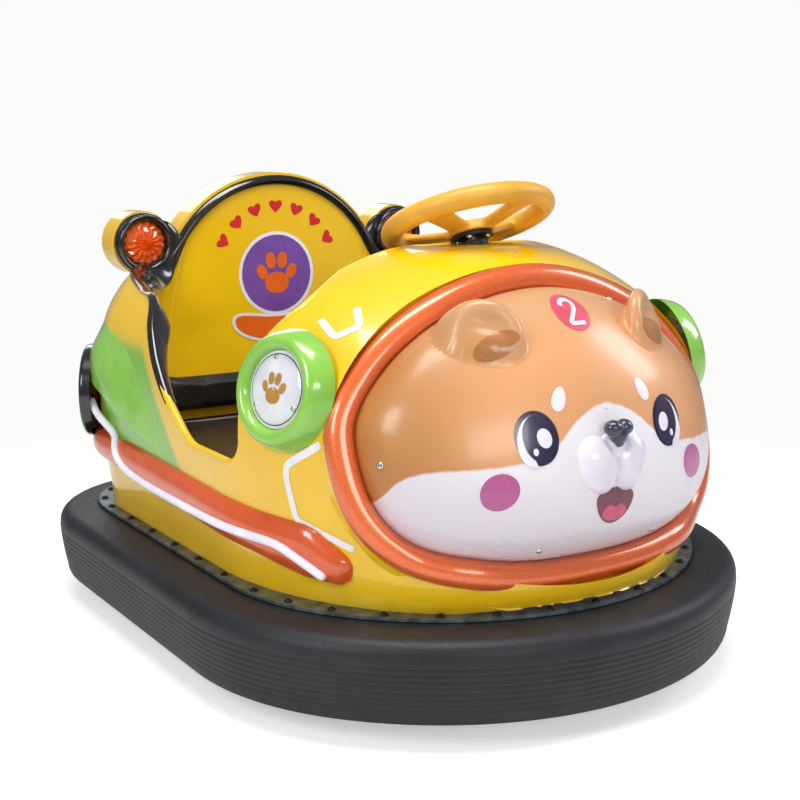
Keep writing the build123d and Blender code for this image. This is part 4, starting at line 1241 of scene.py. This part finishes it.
def curve_through(points, pace):
    """A smooth curve through a few points, as points about one pace apart."""
    path = []
    for i in range(len(points) - 1):
        a, b = points[i], points[i + 1]
        before, after = points[max(i - 1, 0)], points[min(i + 2, len(points) - 1)]
        count = max(2, int((b - a).length / pace))
        path += [flow(a, b, (b - before) / 2, (after - a) / 2, k / count) for k in range(count)]
    return path + points[-1:]


def nearest_on(path, spot):
    """The place on a polyline that lies nearest to a spot."""
    best, far = None, 1e9
    for a, b in zip(path, path[1:]):
        run = b - a
        t = min(1.0, max(0.0, (spot - a).dot(run) / run.length_squared))
        place = a + run * t
        if (spot - place).length < far:
            best, far = place, (spot - place).length
    return best


def swollen(name, side, edge, spine, height, crown, rings=18):
    """A skin over the flank that rises from an outline (in side view) to a spine with a given crown."""
    loop = rounded(edge)
    middle = [Vector((y, z, 0)) for y, z in spine]
    rows = []
    for j in range(rings + 1):
        share = j / rings
        row = []
        for p in loop:
            q = nearest_on(middle, p)
            spot = p.lerp(q, share)
            hit, normal = skin_at(side, spot.x, spot.y)
            row.append(hit + normal * (height * crown(share) - (0.004 if j == 0 else 0.0)))
        rows.append(row)
    return grid_mesh(name, rows, around=True)


def pod_crown(share):
    """A half-round section."""
    return (1 - (1 - share) ** 2.4) ** 0.6


flank_orange = lacquered("orange_gel_coat", "#D9531A", "#E05C20", 0.3, 1.0)
# Milky silicone: it lets light in a little way and glows faintly, with a soft sheen.
milk = plain_finish("milky_silicone", "#E2E0EE", "#EEECF8", (0.04, 2), (0.01, 0.0002, 0.2, 1), {
    "Roughness": 0.38, "Subsurface Weight": 0.25, "Subsurface Scale": 0.006, "Coat Weight": 0.3,
    "Emission Color": srgb("#F1EEFF"), "Emission Strength": 0.10})
for side, hand in ((-1, "right"), (1, "left")):
    mesh = swollen(f"pod_shell_{hand}", side, POD_EDGE, POD_SPINE, pod_swell, pod_crown)
    pod = add_piece(f"pod_shell_{hand}", mesh, flank_orange)
    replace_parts(pod, f"side_pod_{hand}")
    pod_skin = skin_of(pod)
    path = []
    for p in curve_through([Vector((y, z, 0)) for y, z in TUBE_ROUTE], 0.008):
        start, way = Vector((side * 0.9, p.x, p.y)), Vector((-side, 0, 0))
        hit, normal, face, gap = pod_skin.ray_cast(start, way)
        if hit is None:
            hit, normal, face, gap = body_skin.ray_cast(start, way)
        lift = 0.0 if p.x < 0.34 else min(1.0, (p.x - 0.34) / 0.06)
        path.append(hit + Vector((side * (tube_radius * 0.35 + tube_rise * lift), 0, 0)))
    for trial in range(6):
        path = path[:1] + [(a + b * 2 + c) / 4 for a, b, c in zip(path, path[1:], path[2:])] + path[-1:]
    skin = tube(f"light_tube_skin_{hand}", path, tube_radius)
    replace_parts(add_piece(f"light_tube_skin_{hand}", skin, milk), f"light_tube_{hand}")

# ==== Haunches and tail lamps ======================================================================
# A low green haunch rises over each rear corner, moulded in one with the tub and sprayed; it stays
# rather flat and ends in a straight rear edge.  A round tail lamp with a dark red lens sits on each.
HAUNCH_EDGE = [      # y, z, corner radius
    (0.585, 0.372, 0.0), (0.585, 0.600, 0.004), (0.430, 0.606, 0.10), (0.270, 0.560, 0.12),
    (0.130, 0.440, 0.08), (0.110, 0.372, 0.03),
]
HAUNCH_SPINE = [(0.584, 0.480), (0.470, 0.490), (0.380, 0.462)]
haunch_swell = 0.021
tail_angle = math.radians(32)


def haunch_crown(share):
    """Rises without a step and is nearly flat on top."""
    share = min(1.0, share / 0.8)
    return share * share * (3 - 2 * share)


leaf_green = lacquered("green_gel_coat", "#84C242", "#8ECC4C", 0.3, 1.0)
# Dark red: near black for the painted shade round the sides, brick red where it faces the viewer.
lens_red = lens_plastic("dark_red_acrylic", "#4A1410", "#9A3420", "#801810")
for side, hand in ((-1, "right"), (1, "left")):
    mesh = swollen(f"haunch_skin_{hand}", side, HAUNCH_EDGE, HAUNCH_SPINE, haunch_swell, haunch_crown, 24)
    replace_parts(add_piece(f"haunch_skin_{hand}", mesh, leaf_green), f"haunch_{hand}")
    paint_node(f"tail_bezel_{hand}", black_coat)
    low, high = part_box(f"tail_lens_{hand}")
    outward = Vector((side * math.cos(tail_angle), math.sin(tail_angle), 0))
    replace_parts(pressed_lens(f"tail_facets_{hand}", (low + high) / 2 + outward * 0.004, outward, 0.054,
                             0.014, lens_red, 20), f"tail_lens_{hand}")

# ==== Roundels =====================================================================================
# A fat green ring swells out of the shell on each side of the nose and holds a white domed disc.
# Three chrome screws hold the disc; a plain paw stands where an owner's badge would be.
roundel_turn, roundel_tip = math.radians(15), math.radians(12)      # forwards, upwards
roundel_screw_reach = 0.054
ROUNDEL_RING = [     # radius, height
    (0.1065, -0.020), (0.1030, -0.006), (0.0985, 0.004), (0.0945, 0.0125), (0.0895, 0.0190),
    (0.0830, 0.0228), (0.0765, 0.0228), (0.0712, 0.0185), (0.0680, 0.0115), (0.0668, 0.0020),
]
ROUNDEL_DISC = [     # radius, height
    (0.0672, 0.0030), (0.0668, 0.0068), (0.0650, 0.0086), (0.0622, 0.0093), (0.0612, 0.0086),
    (0.0602, 0.0095), (0.0500, 0.0122), (0.0340, 0.0152), (0.0180, 0.0168), (0.0005, 0.0172),
]
PAW = [              # across, up, half width, half height, tilt, in shares of the paw's size
    (0.0, -0.32, 0.50, 0.40, 0.0), (-0.62, 0.10, 0.20, 0.29, 0.45), (-0.24, 0.52, 0.21, 0.31, 0.15),
    (0.24, 0.52, 0.21, 0.31, -0.15), (0.62, 0.10, 0.20, 0.29, -0.45),
]


def patch_on(name, skin, origin, right, up, outline, material, lift, rings=5):
    """A flat film laid on a skin, seen square along the direction that right and up leave."""
    out = right.cross(up).normalized()
    middle = sum((Vector((x, v)) for x, v in outline), Vector((0, 0))) / len(outline)
    rows = []
    for j in range(rings + 1):
        share = 0.02 + 0.98 * j / rings
        row = []
        for x, v in outline:
            spot = middle.lerp(Vector((x, v)), share)
            start = origin + right * spot.x + up * spot.y
            hit, normal, face, gap = skin.ray_cast(start + out * 0.08, -out)
            if hit is None:
                hit = start
            row.append(hit + out * lift)
        rows.append(row)
    return add_piece(name, grid_mesh(name, rows, around=True), material)


def paw_print(name, skin, origin, right, up, size, material, lift=0.0007):
    """Four toes over a pad."""
    for i, (x, v, wide, tall, tilt) in enumerate(PAW):
        shape = egg(x * size, v * size, wide * size, tall * size, tilt, 2.2)
        patch_on(f"{name}_{i}", skin, origin, right, up, [shape(2 * math.pi * k / 36) for k in range(36)],
                 material, lift)


disc_white = lacquered("pearl_white_lacquer", "#DDDCE6", "#ECEBF2", 0.3, 0.9)
gold_film = cut_film("old_gold_vinyl_film", "#B98A3C")
for side, hand in ((-1, "right"), (1, "left")):
    outward = Vector((side * math.cos(roundel_turn) * math.cos(roundel_tip),
                      -math.sin(roundel_turn) * math.cos(roundel_tip), math.sin(roundel_tip)))
    middle = Vector((side * 0.445, -0.333, 0.569))
    ring = add_piece(f"roundel_ring_{hand}", turned(f"roundel_ring_{hand}", ROUNDEL_RING, middle, outward),
                     leaf_green)
    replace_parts(ring, f"roundel_{hand}")
    disc = add_piece(f"roundel_plate_{hand}", turned(f"roundel_plate_{hand}", ROUNDEL_DISC, middle, outward),
                     disc_white, 60)
    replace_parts(disc, f"roundel_disc_{hand}")
    right = Vector((0, 0, 1)).cross(outward).normalized()
    up = outward.cross(right).normalized()
    groove = turned(f"roundel_line_{hand}", [(0.0606, 0.0098), (0.0590, 0.0102)], middle, outward)
    add_piece(f"roundel_line_{hand}", groove, black_coat)
    spots = []
    for angle in (100, 215, 330):
        a = math.radians(angle)
        spots.append((middle + (right * math.cos(a) + up * math.sin(a)) * roundel_screw_reach
                      + outward * 0.0108, outward))
    screw_heads(f"roundel_screws_{hand}", spots, 0.0050, 0.0030, chrome_plate)
    paw_print(f"roundel_paw_{hand}", skin_of(disc), middle, right, up, 0.034, gold_film)

# ==== Panel picture ================================================================================
# Printed vinyl on the back panel: a violet disc with a white rim and an orange paw, an arc of small red
# hearts above it and a plain orange scroll below.  The design is the builder's own.
lining_skin = skin_of(bpy.data.objects["cockpit_lining"])
panel_origin = Vector((0, 0.45, 0.655))
panel_right, panel_up = Vector((1, 0, 0)), Vector((0, 0, 1))
violet = cut_film("violet_vinyl_film", "#7A4FA8")
orange_film = cut_film("orange_vinyl_film", "#F06A20")
red_film = cut_film("red_vinyl_film", "#D8262E")


def panel_film(name, shape, material, lift, rings=8, count=60):
    """A film on the back panel; shape(turn) gives its outline in the panel's own plane."""
    outline = [shape(2 * math.pi * i / count) for i in range(count)]
    return patch_on(name, lining_skin, panel_origin, panel_right, panel_up, outline, material,
                    lift, rings)


def heart(x, v, size, tilt):
    """A heart's outline."""
    def shape(turn):
        a = 0.80 * size * math.sin(turn) ** 3
        b = size * (0.65 * math.cos(turn) - 0.25 * math.cos(2 * turn) - 0.10 * math.cos(3 * turn))
        return x + a * math.cos(tilt) - b * math.sin(tilt), v + a * math.sin(tilt) + b * math.cos(tilt)
    return shape


def scroll(x, v, wide, tall, sag):
    """A band with rounded ends that sags in the middle."""
    def shape(turn):
        a = math.copysign(abs(math.cos(turn)) ** 0.55, math.cos(turn)) * wide
        b = math.copysign(abs(math.sin(turn)) ** 0.8, math.sin(turn)) * tall
        return x + a, v + b + sag * (a / wide) ** 2
    return shape


panel_film("picture_rim", egg(0, 0.020, 0.098, 0.098), white_film, 0.0006)
panel_film("picture_disc", egg(0, 0.020, 0.090, 0.090), violet, 0.0011)
paw_print("picture_paw", lining_skin, panel_origin + Vector((0, 0, 0.018)), panel_right, panel_up, 0.062,
          orange_film, 0.0016)
panel_film("picture_scroll_edge", scroll(0, -0.108, 0.118, 0.033, 0.020), white_film, 0.0014)
panel_film("picture_scroll", scroll(0, -0.108, 0.110, 0.026, 0.019), orange_film, 0.0020)
for i in range(7):
    angle = math.radians(30 + 20 * i)
    place = (0.158 * math.cos(angle), 0.020 + 0.158 * math.sin(angle))
    panel_film(f"picture_heart_{i}", heart(*place, 0.021, angle - math.pi / 2), red_film, 0.0008, 4, 36)

# ==== Seat =========================================================================================
# A foam bench cushion and a low back pad, covered in black leathercloth, with grey piping round the
# cushion's top.  The covers are blown up by a short cloth simulation, so they crown between the seams.
cushion_low, cushion_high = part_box("seat_cushion")
back_low, back_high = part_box("seat_back")
cloth_pressure = 4.0


def leathercloth():
    """Embossed PVC leathercloth: near black, a soft sheen, fine pebble grain and slow creases."""
    material, tree, place, shader = new_finish("black_leathercloth", {"Roughness": 0.42, "Coat Weight": 0.15,
                                                                      "Coat Roughness": 0.3})
    tree.links.new(mottle(tree, place, 0.12, "#141213", "#1D1A1A", 4), shader.inputs["Base Color"])
    pebble = add_node(tree, "ShaderNodeTexVoronoi", {"Vector": place, "Scale": 620.0}, feature="SMOOTH_F1")
    crease = add_node(tree, "ShaderNodeTexNoise", {"Vector": place, "Scale": 26.0, "Detail": 3.0,
                                                   "Distortion": 0.6})
    first = add_node(tree, "ShaderNodeBump", {"Height": crease.outputs["Fac"], "Distance": 0.0022,
                                              "Strength": 0.35})
    second = add_node(tree, "ShaderNodeBump", {"Height": pebble.outputs["Distance"], "Distance": 0.0004,
                                               "Strength": 0.6, "Normal": first.outputs[0]})
    tree.links.new(second.outputs[0], shader.inputs["Normal"])
    wear = add_node(tree, "ShaderNodeMapRange", {"Value": crease.outputs["Fac"], "From Min": 0.3,
                                                 "From Max": 0.7, "To Min": 0.34, "To Max": 0.52})
    tree.links.new(wear.outputs[0], shader.inputs["Roughness"])
    return material


def blown_up(name, low, high, corner, shrink, pressure, cap):
    """A stuffed cover: a rounded box cast in even cells, blown up as cloth and held within a cap."""
    work = bmesh.new()
    middle, half = (low + high) / 2, (high - low) / 2 - Vector((shrink,) * 3)
    bmesh.ops.create_cube(work, size=2, matrix=Matrix.Translation(middle) @ Matrix.Diagonal((*half, 1)))
    bmesh.ops.bevel(work, geom=work.edges[:], offset=corner, segments=5, profile=0.5, affect="EDGES")
    mesh = bpy.data.meshes.new(name)
    work.to_mesh(mesh)
    work.free()
    mesh = remeshed(name, mesh, 0.0075, 4)
    before = [v.co.copy() for v in mesh.vertices]
    cover = bpy.data.objects.new(name, mesh)
    scene.collection.objects.link(cover)
    cloth = cover.modifiers.new("cloth", "CLOTH")
    cloth.settings.use_pressure = True
    cloth.settings.uniform_pressure_force = pressure
    cloth.settings.effector_weights.gravity = 0
    cloth.point_cache.frame_start, cloth.point_cache.frame_end = 1, 20
    for frame_number in range(1, 21):
        scene.frame_set(frame_number)
    blown = bpy.data.meshes.new_from_object(cover.evaluated_get(bpy.context.evaluated_depsgraph_get()))
    bpy.data.objects.remove(cover)
    scene.frame_set(1)
    for v, start in zip(blown.vertices, before):
        shift = v.co - start
        if shift.length > cap:
            v.co = start + shift.normalized() * cap
    return blown


def cushion_loop(low, high, z, corner, steps=10):
    """A rounded rectangle in plan at one height."""
    loop = []
    for sx, sy, first in ((1, 1, 0), (-1, 1, 90), (-1, -1, 180), (1, -1, 270)):
        centre = Vector(((high.x if sx > 0 else low.x) - sx * corner,
                         (high.y if sy > 0 else low.y) - sy * corner, z))
        for k in range(steps + 1):
            a = math.radians(first + 90 * k / steps)
            loop.append(centre + Vector((math.cos(a), math.sin(a), 0)) * corner)
    return loop


leather = leathercloth()
piping_grey = lacquered("grey_vinyl_piping", "#6A6864", "#7A7874", 0.45, 0.2)
bench = blown_up("bench_cushion", cushion_low, cushion_high, 0.020, 0.006, cloth_pressure, 0.009)
bench_piece = add_piece("bench_cushion", bench, leather, 180)
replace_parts(bench_piece, "seat_cushion")
piping = even_loop(cushion_loop(cushion_low, cushion_high, cushion_high.z - 0.011, 0.024), 420)
piping_mesh = tube("bench_piping", piping, 0.0042, closed=True, sides=10)
add_piece("bench_piping", piping_mesh, piping_grey)
pad_low, pad_high = back_low + Vector((0.0, -0.012, 0)), back_high + Vector((0, -0.026, 0))
back = blown_up("back_pad", pad_low, pad_high, 0.018, 0.005, cloth_pressure, 0.008)
pad = add_piece("back_pad", back, leather, 180)
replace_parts(pad, "seat_back")

# ==== Steering wheel ===============================================================================
# The rim and its four broad spokes are self-skinning foam on a steel core, in one amber skin.
# A black plate with four bolts clamps the hub from below.
wheel_tilt = math.radians(22)
wheel_axis = Vector((0, math.sin(wheel_tilt), math.cos(wheel_tilt)))
wheel_frame = Matrix.Translation((0, -0.252, 0.806)) @ Matrix.Rotation(-wheel_tilt, 4, "X")
rim_reach = 0.145
rim_thick = 0.0200
rim_rise = 0.030
spoke_turn = math.radians(-90 - 65)


def wheel_mesh():
    """Rim, hub boss and spokes melted into one skin, in the wheel's own frame."""
    work = bmesh.new()
    rows = []
    for i in range(120):
        a = 2 * math.pi * i / 120
        ring = []
        for k in range(20):
            b = 2 * math.pi * k / 20
            radius = rim_reach + rim_thick * math.cos(b)
            ring.append(work.verts.new((radius * math.cos(a), radius * math.sin(a),
                                        rim_rise + rim_thick * math.sin(b))))
        rows.append(ring)
    for near, far in zip(rows, rows[1:] + rows[:1]):
        for k in range(20):
            work.faces.new((near[k], far[k], far[(k + 1) % 20], near[(k + 1) % 20]))
    bmesh.ops.create_cone(work, cap_ends=True, segments=48, radius1=0.046, radius2=0.040, depth=0.020,
                          matrix=Matrix.Translation((0, 0, 0.010)))
    for n in range(4):
        a = spoke_turn + math.pi / 2 * n
        along, aside = Vector((math.cos(a), math.sin(a), 0)), Vector((-math.sin(a), math.cos(a), 0))
        sections = []
        for k in range(9):
            t = k / 8
            reach = 0.020 + (rim_reach - 0.020) * t
            width = 0.021 + 0.004 * t + 0.016 * t ** 4
            rise = 0.010 + (rim_rise - 0.010) * (t * t * (3 - 2 * t))
            ring = []
            for m in range(16):
                b = 2 * math.pi * m / 16
                flat = math.copysign(abs(math.cos(b)) ** 0.6, math.cos(b)) * width
                tall = math.copysign(abs(math.sin(b)) ** 0.8, math.sin(b)) * 0.0082
                ring.append(work.verts.new(along * reach + aside * flat + Vector((0, 0, rise + tall))))
            sections.append(ring)
        for low, high in zip(sections, sections[1:]):
            for m in range(16):
                work.faces.new((low[m], low[(m + 1) % 16], high[(m + 1) % 16], high[m]))
        work.faces.new(sections[0][::-1])
        work.faces.new(sections[-1])
    bmesh.ops.recalc_face_normals(work, faces=work.faces)
    mesh = bpy.data.meshes.new("wheel_foam")
    work.to_mesh(mesh)
    work.free()
    mesh = remeshed("wheel_foam", mesh, 0.0030, 8)
    mesh.transform(wheel_frame)
    return mesh


# Self-skinning polyurethane foam: amber yellow, satin, with a fine leather grain off the mould.
foam = plain_finish("self_skinning_foam", "#DDA22C", "#E8B03A", (0.07, 4), (0.0012, 0.00025, 0.6, 3),
                    {"Roughness": 0.45, "Coat Weight": 0.2, "Coat Roughness": 0.25}, (0.4, 0.55))
wheel_skin = add_piece("wheel_foam", wheel_mesh(), foam, 180, "steering")
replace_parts(wheel_skin, "steering_wheel")
paint_node("hub_plate", frame_black)
spots = []
for n in range(4):
    a = math.radians(45 + 90 * n)
    spots.append((wheel_frame @ Vector((0.029 * math.cos(a), 0.029 * math.sin(a), -0.0078)), -wheel_axis))
screw_heads("hub_bolts", spots, 0.0055, 0.0045, chrome_plate, "steering")

# ==== Running gear =================================================================================
# Solid rubber tyres run on cast aluminium hubs.  The steering shaft is bright steel bar, and the pedal
# is rubber.
tyre_black = dull_finish("solid_tyre_rubber", "#1A1A1B", "#262627", (0.6, 0.8))
# Bright drawn steel bar with a fine grain.
steel_bright = plain_finish("bright_drawn_steel", "#8E9196", "#A9ACB1", (0.02, 4), (0.002, 0.0001, 0.3, 2),
                            {"Metallic": 1.0, "Roughness": 0.28}, (0.22, 0.36))
# Sand-cast aluminium: pale, slightly rough, with darker pockets.
alloy = plain_finish("cast_aluminium", "#7C7F84", "#A4A7AB", (0.012, 5), (0.0025, 0.0006, 0.6, 4),
                     {"Metallic": 0.9, "Roughness": 0.5}, (0.42, 0.62))
paint_node("steering_shaft", steel_bright)
paint_node("pedal", rubber)
for wheel in ("front_wheel", "rear_wheel_right", "rear_wheel_left"):
    paint_node(f"{wheel}_tyre", tyre_black)
    paint_node(f"{wheel}_hub", alloy)
